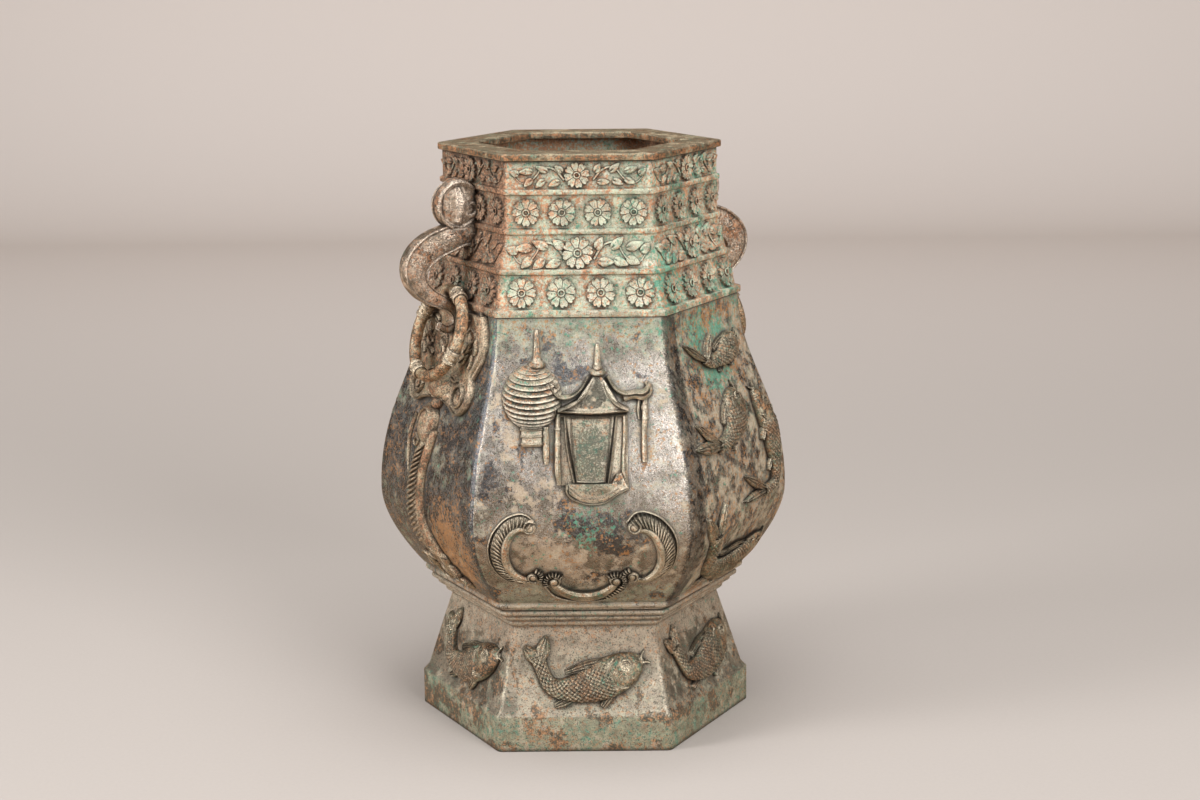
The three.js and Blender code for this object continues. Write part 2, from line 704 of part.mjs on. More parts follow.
// A fish: its body follows the spine from the nose to the joint of the tail, and the tail's
// two lobes end at the tips. The back is on the left of a fish that swims left (side -1) and
// on the right of one that swims right (side 1).
function fish({ spine, tips, depth, side }, faceAngle, face) {
  const line = new THREE.SplineCurve(points(...spine));
  const girth = (along) => radiusOn(FISH_GIRTH, along);
  const size = (along) => [(depth / 2) * girth(along), FISH_RELIEF * girth(along)];

  // A point beside the spine, as a share of the body's half width towards the back
  const beside = (along, share) => {
    const ahead = line.getTangentAt(along);
    const distance = (depth / 2) * girth(along) * share * side;
    return line.getPointAt(along).add(new THREE.Vector2(ahead.y, -ahead.x).multiplyScalar(distance));
  };
  const [eye, eyeRadius] = [beside(...FISH_EYE), depth * FISH_EYE_RADIUS];
  const fins = FISH_FINS.map(({ root, tip, width }) => fin(beside(...root), beside(...tip), depth * width));
  const tail = points(...tips).map((tip) => fin(beside(...TAIL_ROOT), tip, depth * TAIL_LOBE_WIDTH));
  const shapes = [
    bar(line, FISH_STEPS, size),
    ...fins,
    ...tail,
    dome(eye.x, eye.y, eyeRadius, eyeRadius, FISH_RELIEF, 6),
  ];
  return seated(shapes, faceAngle, face);
}

// The vase

const castBody = { color: 0x4d4a40, roughness: 0.5, metalness: 0.6 };
const castFoot = { color: 0x56564a, roughness: 0.6, metalness: 0.5 };
const castNeck = { color: 0x6f7d66, roughness: 0.8, metalness: 0.3 };
const castRim = { color: 0x54524a, roughness: 0.5, metalness: 0.6 };
const castHandle = { color: 0x6b5745, roughness: 0.5, metalness: 0.6 };
const castRing = { color: 0x8a7058, roughness: 0.6, metalness: 0.5 };
const castEscutcheon = { color: 0x6e5a40, roughness: 0.7, metalness: 0.4 };
const castRelief = { color: 0x5b6152, roughness: 0.6, metalness: 0.5 };
const castFish = { color: 0x5a5646, roughness: 0.6, metalness: 0.5 };

const vase = new THREE.Group();
vase.name = "bronze_vase";

function piece(name, solid, finish, halfTurns = 0) {
  const turned = geometryFrom(solid).rotateZ(halfTurns * Math.PI);
  const geometry = toCreasedNormals(turned, degrees(CREASE_ANGLE));
  const mesh = new THREE.Mesh(geometry, new THREE.MeshStandardMaterial(finish));
  mesh.name = name;
  vase.add(mesh);
}

// The vase looks the same from the back, so a casting on the front half is made again half a
// turn round
function pair(name, [near, far], solid, finish) {
  piece(`${name}_${near}`, solid, finish);
  piece(`${name}_${far}`, solid, finish, 1);
}

piece("foot", footCasting(), castFoot);
piece("floor_plate", floorPlate(), castBody);
piece("body_shell", bodyCasting(), castBody);
piece("neck", neckCasting(), castNeck);
piece("mouth_rim", mouthRim(), castRim);

const leftAndRight = ["left", "right"];
pair("handle", leftAndRight, handle(HANDLE_FACE), castHandle);
pair("ring", leftAndRight, solidFrom(ring(HANDLE_FACE)), castRing);
pair("escutcheon", leftAndRight, escutcheon(HANDLE_FACE), castEscutcheon);
pair("ribbon", leftAndRight, ribbon(HANDLE_FACE), castEscutcheon);

const frontAndBack = ["front", "back"];
pair("globe_lantern", frontAndBack, globeLantern(FRONT_FACE), castRelief);
pair("palace_lantern", frontAndBack, palaceLantern(FRONT_FACE), castRelief);

const scrolls = {
  scroll_west: {
    path: [[-26.6, 49.5], [-31, 53], [-38.6, 48.6], [-42.7, 38.5], [-40, 26.3], [-32.6, 20], [-26, 21]],
    halfWidth: 4.3,
    balls: [[-25.6, 47.6, 3.4]],
  },
  scroll_east: {
    path: [[25.6, 50.6], [31, 52.6], [38.6, 47], [41.9, 37.6], [40.6, 28], [34, 21], [28.4, 20.4]],
    halfWidth: 4.3,
    balls: [[24.8, 49.2, 3.4]],
  },
  scroll_lower: {
    path: [[-17.6, 20.6], [-15.6, 14.8], [-8.4, 11], [0.5, 9.4], [9.4, 11], [16.6, 14.6], [18.8, 20]],
    halfWidth: 3.3,
    balls: [[-13.6, 21, 2.8], [15.4, 21, 2.8]],
  },
};
for (const [name, shape] of Object.entries(scrolls)) {
  pair(name, frontAndBack, scroll(shape, FRONT_FACE), castRelief);
}

const bodyFish = {
  fish_top: {
    spine: [[27.4, 128], [14.9, 124.6], [3.5, 120.9], [-6.1, 119.9], [-11, 123]],
    tips: [[-27, 132], [2, 134]],
    depth: 13,
    side: 1,
  },
  fish_middle: {
    spine: [[10, 105], [3.8, 96.4], [-3.5, 88.2], [-12.2, 82.8], [-22, 82]],
    tips: [[-37, 95.5], [-42, 84]],
    depth: 18,
    side: 1,
  },
  fish_upright: {
    spine: [[28, 102], [33.2, 87.3], [34.9, 68.2], [33.3, 53], [20, 50]],
    tips: [[0, 62], [-2, 49]],
    depth: 15,
    side: -1,
  },
  fish_low: {
    spine: [[34, 23.2], [15.8, 16.2], [-5.3, 15], [-23.7, 21.2], [-30, 38.6]],
    tips: [[-40, 50], [-22, 55]],
    depth: 20,
    side: 1,
  },
};
for (const [name, shape] of Object.entries(bodyFish)) {
  pair(name, leftAndRight.toReversed(), fish(shape, FISH_FACE, bodyFace), castFish);
}

const footFish = {
  spine: [[30, 46], [13.5, 37.8], [-4.3, 32.9], [-19.6, 34.3], [-23, 49]],
  tips: [[-30.4, 52.7], [-18.6, 57.8]],
  depth: 19,
  side: 1,
};
pair("foot_fish", frontAndBack, fish(footFish, FRONT_FACE, footFace), castFish);
pair("foot_fish", ["front_right", "back_left"], fish(footFish, FISH_FACE, footFace), castFish);
pair("foot_fish", ["front_left", "back_right"], fish(footFish, HANDLE_FACE, footFace), castFish);

export default vase;
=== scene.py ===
import math

import bmesh
import bpy
from mathutils import Matrix, Vector
from mathutils.geometry import interpolate_bezier


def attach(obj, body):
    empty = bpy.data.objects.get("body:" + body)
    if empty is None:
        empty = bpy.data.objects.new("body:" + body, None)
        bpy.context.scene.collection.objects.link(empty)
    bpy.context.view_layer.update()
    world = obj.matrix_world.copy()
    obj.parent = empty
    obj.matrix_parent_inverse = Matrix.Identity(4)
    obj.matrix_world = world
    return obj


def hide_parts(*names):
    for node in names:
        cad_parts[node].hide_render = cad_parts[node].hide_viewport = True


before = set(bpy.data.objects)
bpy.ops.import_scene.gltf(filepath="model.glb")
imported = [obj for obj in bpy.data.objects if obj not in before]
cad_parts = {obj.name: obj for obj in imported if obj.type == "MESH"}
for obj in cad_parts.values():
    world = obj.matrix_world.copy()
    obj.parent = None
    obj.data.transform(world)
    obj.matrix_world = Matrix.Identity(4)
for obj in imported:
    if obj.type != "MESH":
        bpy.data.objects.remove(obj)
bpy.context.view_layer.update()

# Foot: a hollow six-sided casting with a straight band, a chamfer, a splay and three beads
# under the body. Brown bronze gone grey, with verdigris on the band; filed edges.
MM = 0.001
SIDES = 6
FLAT_SHARE = math.cos(math.pi / SIDES)
EDGE_ROUNDING = 3
LONG_EDGE = 30
FOOT_RADIUS = 87
FOOT_WALL = 5.8
FOOT_BAND = 18.5
FOOT_CHAMFER = 3
FOOT_THROAT = 62
FOOT_TOP = 72.6
SPLAY_RADIUS = FOOT_RADIUS - FOOT_CHAMFER
SPLAY_MIDDLE = (77.2, 42)
THROAT_RADIUS = 70.5
FOOT_BEADS = [
    (73, 62.8), (74, 63.7), (74, 64.9), (73.2, 65.7), (76.6, 66.6), (78, 67.4), (78, 68.5), (77.2, 69.2),
    (80.4, 69.9), (81.4, 70.7), (81.4, 71.8), (80.6, FOOT_TOP)]
HANDLE_SIDE = 210


def deselect():
    if bpy.context.mode != "OBJECT":
        bpy.ops.object.mode_set(mode="OBJECT")
    bpy.ops.object.select_all(action="DESELECT")


def choose(piece):
    deselect()
    piece.select_set(True)
    bpy.context.view_layer.objects.active = piece


def apply_all(piece):
    choose(piece)
    for modifier in list(piece.modifiers):
        bpy.ops.object.modifier_apply(modifier=modifier.name)


def smooth(piece, angle=30):
    choose(piece)
    bpy.ops.object.shade_smooth_by_angle(angle=math.radians(angle))


def pick(test, kind="verts"):
    """Selects the parts of the mesh in edit mode that pass the test."""
    bpy.ops.mesh.select_all(action="DESELECT")
    mesh = bmesh.from_edit_mesh(bpy.context.object.data)
    for part in getattr(mesh, kind):
        if test(part):
            part.select_set(True)
    bmesh.update_edit_mesh(bpy.context.object.data)


def six_sided(name, line, cuts=10, rounding=EDGE_ROUNDING):
    """Draws a six-sided ring up and back through its corner radii and heights."""
    deselect()
    radius, height = line[0]
    bpy.ops.mesh.primitive_circle_add(
        vertices=SIDES, radius=radius * MM, location=(0, 0, height * MM), rotation=(0, 0, math.pi / SIDES))
    piece = bpy.context.object
    piece.name = name
    bpy.ops.object.transform_apply()
    bpy.ops.object.mode_set(mode="EDIT")
    bpy.ops.mesh.select_all(action="SELECT")
    for (was, below), (now, above) in zip(line, line[1:] + line[:1]):
        bpy.ops.mesh.extrude_edges_move(TRANSFORM_OT_translate={"value": (0, 0, (above - below) * MM)})
        bpy.ops.transform.resize(value=(now / was, now / was, 1), center_override=(0, 0, 0))
    bpy.ops.mesh.select_all(action="SELECT")
    bpy.ops.mesh.remove_doubles(threshold=0.00001)
    bpy.ops.mesh.normals_make_consistent(inside=False)

    def upright(edge):
        first, second = (math.atan2(v.co.y, v.co.x) for v in edge.verts)
        return abs(math.remainder(first - second, 2 * math.pi)) < 0.01

    bpy.ops.mesh.select_mode(type="EDGE")
    pick(upright, "edges")
    bpy.ops.mesh.bevel(offset=rounding * math.tan(math.pi / SIDES) * MM, segments=4)
    pick(lambda edge: edge.calc_length() > LONG_EDGE * MM, "edges")
    bpy.ops.mesh.subdivide(number_cuts=cuts)
    bpy.ops.mesh.select_mode(type="VERT")
    bpy.ops.object.mode_set(mode="OBJECT")
    return piece


def soften(piece, width, angle=40):
    """Files the sharp edges of a casting round."""
    edge = piece.modifiers.new("filed edges", "BEVEL")
    edge.width = width * MM
    edge.segments = 2
    edge.limit_method = "ANGLE"
    edge.angle_limit = math.radians(angle)
    apply_all(piece)


def tone(code):
    """A colour written as six figures, as the shaders take it."""
    parts = [int(code[i:i + 2], 16) / 255 for i in (0, 2, 4)]
    return tuple(c / 12.92 if c <= 0.04045 else ((c + 0.055) / 1.055) ** 2.4 for c in parts) + (1,)


def add_node(tree, kind, inputs=(), **settings):
    made = tree.nodes.new("ShaderNode" + kind)
    for key, value in settings.items():
        setattr(made, key, value)
    for key, value in dict(inputs).items():
        socket = made.inputs[key]
        if isinstance(value, bpy.types.NodeSocket):
            tree.links.new(value, socket)
        else:
            socket.default_value = value
    return made


def calc(tree, operation, *values, clamp=False):
    return add_node(tree, "Math", dict(enumerate(values)), operation=operation, use_clamp=clamp).outputs[0]


def vector_calc(tree, operation, first, second=(0, 0, 0), gives="Vector"):
    return add_node(tree, "VectorMath", {0: first, 1: second}, operation=operation).outputs[gives]


def blend(tree, share, first, second):
    mixed = add_node(tree, "Mix", {0: share, 6: first, 7: second}, data_type="RGBA")
    return mixed.outputs[2]


def ramp(tree, value, low, high):
    """0 below the low value and 1 above the high one, with a smooth rise between them."""
    made = add_node(tree, "MapRange", {"Value": value, "From Min": low, "From Max": high})
    made.interpolation_type = "SMOOTHSTEP"
    return made.outputs["Result"]


def new_group(name, takes, gives):
    tree = bpy.data.node_groups.new(name, "ShaderNodeTree")
    for title, kind, value in takes:
        socket = tree.interface.new_socket(title, in_out="INPUT", socket_type="NodeSocket" + kind)
        if value is not None:
            socket.default_value = value
    for title, kind in gives:
        tree.interface.new_socket(title, in_out="OUTPUT", socket_type="NodeSocket" + kind)
    return tree, tree.nodes.new("NodeGroupInput").outputs, tree.nodes.new("NodeGroupOutput").inputs


def grain(tree, place, size, detail=5, rough=0.6, stretch=None, shift=0):
    """Cloudy noise whose clouds are about the given size in millimetres."""
    moved = add_node(tree, "Mapping", {"Vector": place, "Location": (shift, shift * 0.7, -shift)})
    if stretch:
        moved.inputs["Scale"].default_value = stretch
    made = add_node(tree, "TexNoise", {
        "Vector": moved.outputs[0], "Scale": 1 / (size * MM), "Detail": detail, "Roughness": rough})
    return made.outputs["Fac"]


def build_patina():
    """Aged bronze under stain, dust, film and specks; each cover's number is the share it takes."""
    tree, take, give = new_group("aged_bronze", [
        ("Place", "Vector", None),
        ("Bronze", "Color", tone("7a746a")), ("Shine", "Color", tone("c9c5bb")),
        ("Stain", "Color", tone("33363e")), ("Dust", "Color", tone("b5a48d")),
        ("Earth", "Color", tone("b9825e")), ("Verdigris", "Color", tone("5fa58c")),
        ("Film", "Color", tone("a9b3a0")), ("Grime", "Color", tone("1d1814")),
        ("Rub", "Float", 0.5), ("Stain Cover", "Float", 0.3), ("Dust Cover", "Float", 0.3),
        ("Film Cover", "Float", 0.15), ("Earth Specks", "Float", 0.25), ("Verdigris Specks", "Float", 0.2),
        ("Pits", "Float", 0.25), ("Veins", "Float", 0.3), ("Grime Cover", "Float", 0.9),
        ("Streaks", "Float", 0.0), ("Gloss", "Float", 0.3), ("Matt", "Float", 0.0),
    ], [("Color", "Color"), ("Roughness", "Float"), ("Metallic", "Float"), ("Height", "Float")])
    place = take["Place"]
    sky = add_node(tree, "AmbientOcclusion", {"Distance": 2.8 * MM}, samples=6).outputs["AO"]
    hollow = ramp(tree, sky, 0.95, 0.55)
    wide_sky = add_node(tree, "AmbientOcclusion", {"Distance": 9 * MM}, samples=6).outputs["AO"]
    halo = ramp(tree, wide_sky, 0.97, 0.7)
    inner = add_node(tree, "AmbientOcclusion", {"Distance": 1.2 * MM}, samples=6, inside=True).outputs["AO"]
    edge = ramp(tree, inner, 0.95, 0.55)
    broad = grain(tree, place, 34, 2, 0.5)
    clouds = grain(tree, place, 13, 10, 0.62, shift=0.3)
    crust = grain(tree, place, 6, 9, 0.68, shift=0.7)
    specks = grain(tree, place, 2.1, 5, 0.68, shift=1.1)
    grit = grain(tree, place, 0.75, 3, 0.65, shift=1.9)
    dots = grain(tree, place, 1.5, 4, 0.7, shift=2.7)
    lines = grain(tree, place, 1.1, 6, 0.7, stretch=(1, 1, 0.1), shift=3.3)
    streak = calc(tree, "MULTIPLY", calc(tree, "SUBTRACT", lines, 0.5), take["Streaks"])

    def cover(share, source, soft, noises=(), places=()):
        """A coat with ragged edges that takes its share of the surface."""
        level = calc(tree, "MULTIPLY_ADD", share, 0.45, source)
        half_way = 0.725 + sum(weight for value, weight in noises) / 2
        for value, weight in (*noises, *places):
            level = calc(tree, "MULTIPLY_ADD", value, weight, level)
        return ramp(tree, level, half_way - soft, half_way + soft)

    metal = blend(tree, ramp(tree, clouds, 0.36, 0.64), take["Bronze"], take["Shine"])
    stain = cover(take["Stain Cover"], clouds, 0.03, [(broad, 0.3), (grit, 0.12)],
                  [(streak, 0.8), (edge, -0.1)])
    dust = cover(take["Dust Cover"], crust, 0.035, [(broad, -0.3), (grit, 0.14)],
                 [(streak, 1.0), (halo, 0.05)])
    film = cover(take["Film Cover"], crust, 0.14, [(clouds, 0.3), (grit, 0.1)], [(halo, 0.12)])
    earth = cover(take["Earth Specks"], dots, 0.04, [(clouds, 0.5)], [(hollow, 0.06), (streak, 0.5)])
    green = cover(take["Verdigris Specks"], specks, 0.05, [(clouds, -0.5), (grit, 0.2)], [(hollow, 0.05)])
    pits = cover(take["Pits"], grit, 0.05, [(specks, 0.3)], [(streak, 0.6)])
    bright = cover(0.3, grit, 0.05, [(dots, -0.4)])
    crack = ramp(tree, calc(tree, "ABSOLUTE", calc(tree, "SUBTRACT", crust, 0.5)), 0.03, 0.0)
    crack = calc(tree, "MULTIPLY", crack, take["Veins"])
    vein = calc(tree, "MULTIPLY", crack, ramp(tree, clouds, 0.4, 0.6), clamp=True)
    # Convex edges are painted toward the shine colour: partly rubbed wear, partly painted highlight on ridges
    # and beads.
    worn_and_sheen = calc(tree, "MULTIPLY", edge, take["Rub"])
    rubbed_and_sheen = calc(tree, "MULTIPLY", worn_and_sheen, ramp(tree, grit, 0.3, 0.5), clamp=True)
    # Hollows are painted dark toward the grime colour: partly grime in the creases, partly painted shade in
    # creases, in gaps and round the reliefs.
    hollow_grime_and_shade = calc(tree, "MULTIPLY", hollow, take["Grime Cover"], clamp=True)
    coats = ((film, 0.8, "Film"), (stain, 0.85, "Stain"), (dust, 0.75, "Dust"), (green, 0.85, "Verdigris"),
             (earth, 0.88, "Earth"), (bright, 0.4, "Shine"), (rubbed_and_sheen, 0.9, "Shine"), (pits, 0.75, "Grime"),
             (vein, 0.8, "Grime"), (hollow_grime_and_shade, 0.93, "Grime"))
    colour = metal
    for share, strength, coat in coats:
        colour = blend(tree, calc(tree, "MULTIPLY", share, strength), colour, take[coat])
    dry = calc(tree, "MULTIPLY_ADD", dust, 0.6, calc(tree, "MULTIPLY_ADD", film, 0.5, take["Matt"]))
    dry = calc(tree, "ADD", dry, calc(tree, "MULTIPLY", calc(tree, "ADD", earth, green), 0.6))
    dry = calc(tree, "ADD", dry, calc(tree, "MULTIPLY", hollow_grime_and_shade, 0.8), clamp=True)
    dry = calc(tree, "MULTIPLY_ADD", calc(tree, "MULTIPLY", rubbed_and_sheen, dry), -0.7, dry)
    rough = calc(tree, "MULTIPLY_ADD", dry, 0.3, take["Gloss"])
    rough = calc(tree, "MULTIPLY_ADD", calc(tree, "SUBTRACT", grit, 0.5), 0.4, rough)
    speckle = calc(tree, "MULTIPLY_ADD", calc(tree, "SUBTRACT", grit, 0.5), 1.9, 1.0)
    speckle = calc(tree, "MULTIPLY_ADD", calc(tree, "SUBTRACT", crust, 0.5), 0.8, speckle)
    colour = add_node(tree, "VectorMath", {0: colour, "Scale": speckle}, operation="SCALE").outputs[0]
    tree.links.new(colour, give["Color"])
    tree.links.new(calc(tree, "MULTIPLY_ADD", stain, -0.05, rough), give["Roughness"])
    tree.links.new(calc(tree, "MULTIPLY_ADD", dry, -0.72, 0.95), give["Metallic"])
    height = calc(tree, "MULTIPLY_ADD", grit, 0.9, calc(tree, "MULTIPLY", specks, 1.0))
    height = calc(tree, "MULTIPLY_ADD", clouds, 1.6, calc(tree, "MULTIPLY_ADD", broad, 5, height))
    height = calc(tree, "MULTIPLY_ADD", dust, 0.12, height)
    height = calc(tree, "MULTIPLY_ADD", vein, -0.3, height)
    tree.links.new(calc(tree, "MULTIPLY_ADD", pits, -0.25, height), give["Height"])
    return tree


def build_leaning():
    """How straight a place on the vase faces one side of it, or the side across from it."""
    tree, take, give = new_group("towards_side", [
        ("Place", "Vector", None), ("Side", "Vector", (0, -1, 0)),
        ("Near", "Float", 0.85), ("Far", "Float", 0.88),
    ], [("Mask", "Float")])
    flat = vector_calc(tree, "MULTIPLY", take["Place"], (1, 1, 0))
    way = vector_calc(tree, "NORMALIZE", flat)
    along = vector_calc(tree, "DOT_PRODUCT", way, take["Side"], "Value")
    tree.links.new(ramp(tree, calc(tree, "ABSOLUTE", along), take["Near"], take["Far"]), give["Mask"])
    return tree


def build_blot():
    """A soft round blot on the front half of the vase, and the same one turned to the back."""
    tree, take, give = new_group("blot", [
        ("Place", "Vector", None), ("Centre", "Vector", (0, 0, 0)), ("Reach", "Vector", (1, 1, 1)),
    ], [("Mask", "Float")])
    depth = add_node(tree, "SeparateXYZ", {0: take["Place"]}).outputs["Y"]
    turn = calc(tree, "MULTIPLY", calc(tree, "SIGN", depth), -1)
    flip = add_node(tree, "CombineXYZ", {"X": turn, "Y": turn, "Z": 1.0}).outputs[0]
    front = vector_calc(tree, "MULTIPLY", take["Place"], flip)
    off = vector_calc(tree, "SUBTRACT", front, take["Centre"])
    off = vector_calc(tree, "DIVIDE", off, take["Reach"])
    far = vector_calc(tree, "LENGTH", off, gives="Value")
    tree.links.new(ramp(tree, far, *BLOT_EDGE), give["Mask"])
    return tree


BLOT_EDGE = (1.25, 0.35)
SIDE_EDGE = (0.852, 0.88)
LINING_EDGE = (-10, -40)
aged_bronze = build_patina()
towards_side = build_leaning()
blot = build_blot()


def side_vector(facing):
    """The way out from the axis at that angle round it, in degrees from +x."""
    return (math.cos(math.radians(facing)), math.sin(math.radians(facing)), 0)


def mask_for(tree, place, kind, limits):
    """1 where a mask holds and 0 elsewhere. A kind that is a number is a side of the vase."""
    if kind == "height":
        height = add_node(tree, "SeparateXYZ", {0: place}).outputs["Z"]
        return ramp(tree, height, limits[0] * MM, limits[1] * MM)
    if kind == "inward":
        spoke = vector_calc(tree, "MULTIPLY", place, (1, 1, 0))
        facing = add_node(tree, "NewGeometry").outputs["True Normal"]
        away = vector_calc(tree, "DOT_PRODUCT", spoke, facing, "Value")
        return ramp(tree, away, LINING_EDGE[0] * MM, LINING_EDGE[1] * MM)
    if kind == "blot":
        centre, reach = ([v * MM for v in limit] for limit in limits)
        group, inputs = blot, {"Place": place, "Centre": centre, "Reach": reach}
    else:
        near, far = limits or SIDE_EDGE
        group, inputs = towards_side, {"Place": place, "Side": side_vector(kind), "Near": near, "Far": far}
    return add_node(tree, "Group", inputs, node_tree=group).outputs["Mask"]


def patina(name, relief=0.25, masks=(), **values):
    """A material of aged bronze. Masks are (input, weight, kind, limits) added to a cover."""
    made = bpy.data.materials.new(name)
    made.use_nodes = True
    tree = made.node_tree
    shader = tree.nodes["Principled BSDF"]
    place = add_node(tree, "TexCoord").outputs["Object"]
    cast = add_node(tree, "Group", {"Place": place}, node_tree=aged_bronze)
    for title, value in values.items():
        socket = cast.inputs[title.replace("_", " ").title()]
        socket.default_value = tone(value) if isinstance(value, str) else value
    for title, weight, kind, *limits in masks:
        socket = cast.inputs[title]
        level = socket.links[0].from_socket if socket.is_linked else socket.default_value
        mask = mask_for(tree, place, kind, limits)
        tree.links.new(calc(tree, "MULTIPLY_ADD", mask, weight, level), socket)
    for title, socket in (("Color", "Base Color"), ("Roughness", "Roughness"), ("Metallic", "Metallic")):
        tree.links.new(cast.outputs[title], shader.inputs[socket])
    bump = add_node(tree, "Bump", {
        "Height": cast.outputs["Height"], "Distance": relief * MM, "Strength": 1.0})
    tree.links.new(bump.outputs[0], shader.inputs["Normal"])
    return made


def hand_over(piece, node, material, body="vase"):
    """Gives a finished piece its metal and its place in the frame."""
    piece.data.materials.clear()
    piece.data.materials.append(material)
    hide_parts(*([node] if isinstance(node, str) else node))
    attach(piece, body)


ON_BAND = ("height", 20, 17)
ON_BEADS = ("height", 61, 63)
foot_metal = patina(
    "foot_bronze", bronze="857b6c", shine="c2b7a4", stain="4e463b", dust="ae9f8c", earth="b88c66",
    verdigris="70a08a", film="a2a78f", rub=1.0, stain_cover=0.28, dust_cover=0.3, film_cover=0.3,
    earth_specks=0.28, verdigris_specks=0.14, gloss=0.32, matt=0.15, pits=0.38,
    masks=[("Verdigris Specks", 0.16, *ON_BAND), ("Earth Specks", 0.04, *ON_BAND),
           ("Film Cover", 0.4, *ON_BAND), ("Stain Cover", 0.1, *ON_BAND),
           # The beads under the body get more of the shine colour, less stain and less dark in their grooves:
           # painted highlight on top of their wear.
           ("Dust Cover", 0.45, "height", 42, 56), ("Rub", 1.5, *ON_BEADS),
           ("Stain Cover", -0.25, *ON_BEADS), ("Grime Cover", -0.35, *ON_BEADS),
           # The left-front face of the foot is painted darker: partly stain, partly painted shade on that
           # side.
           ("Stain Cover", 0.14, HANDLE_SIDE)])
foot = six_sided("foot_casting", [
    (FOOT_RADIUS, 0), (FOOT_RADIUS, FOOT_BAND), (SPLAY_RADIUS, FOOT_BAND + FOOT_CHAMFER), SPLAY_MIDDLE,
    (THROAT_RADIUS, FOOT_THROAT)] + FOOT_BEADS + [
    (THROAT_RADIUS - FOOT_WALL, FOOT_TOP), (THROAT_RADIUS - FOOT_WALL, FOOT_THROAT),
    (SPLAY_RADIUS - FOOT_WALL, FOOT_BAND), (SPLAY_RADIUS - FOOT_WALL, 0)])
soften(foot, 0.4)
smooth(foot)
hand_over(foot, "foot", foot_metal)

# Floor plate: a flat six-sided casting that lies on the foot's top edge, inside the lower
# opening of the body, and closes it. It keeps its CAD mesh, in dull bronze under dust.
plate_metal = patina("floor_plate_bronze", bronze="5d5548", dust="8f7d62", dust_cover=0.6, gloss=0.6)
floor_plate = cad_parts["floor_plate"]
floor_plate.data.materials.clear()
floor_plate.data.materials.append(plate_metal)

# Body: a pear-shaped six-sided shell, cast hollow and open above and below. The front and
# back faces are rubbed bright, under blue-black stains and pale dust.
BODY_BASE = 72.9
BODY_TOP = 221.5
BODY_EDGE = 84.8
BODY_BEAD = 4.8
BODY_THROAT = 72
BELLY_RADIUS = 107
BELLY_LEVEL = 119.9
SHOULDER_RADIUS = 81.8
BODY_WALL = 5.2
FACE_BOW = 1.5
BOW_ENDS = (84, 112, 178, 214)
BOW_FLAT = 0.3
FACE_REACH = 22
RIGHT_FISH_SIDE = 330
RIGHT_EDGE = 303
LEFT_EDGE = 239.3


def pear(inset, steps):
    """The flank: two curves that meet upright at the belly."""
    edge_top = BODY_BASE + BODY_BEAD

    def between(a, b, share):
        return a + (b - a) * share

    under = [(BODY_EDGE, edge_top), (between(BODY_EDGE, BELLY_RADIUS, 0.42), edge_top + 10),
             (BELLY_RADIUS, between(edge_top, BELLY_LEVEL, 0.64)), (BELLY_RADIUS, BELLY_LEVEL)]
    over = [(BELLY_RADIUS, BELLY_LEVEL), (BELLY_RADIUS, between(BELLY_LEVEL, BODY_TOP, 0.45)),
            (SHOULDER_RADIUS, between(BELLY_LEVEL, BODY_TOP, 0.66)), (SHOULDER_RADIUS, BODY_TOP)]
    line = []
    for knots in (under, over):
        for i in range(steps + 1):
            t = i / steps
            weights = ((1 - t) ** 3, 3 * t * (1 - t) ** 2, 3 * t * t * (1 - t), t ** 3)
            line.append(tuple(sum(w * k[axis] for w, k in zip(weights, knots)) for axis in (0, 1)))
    line.pop(steps)
    return [(radius - inset, height) for radius, height in line]


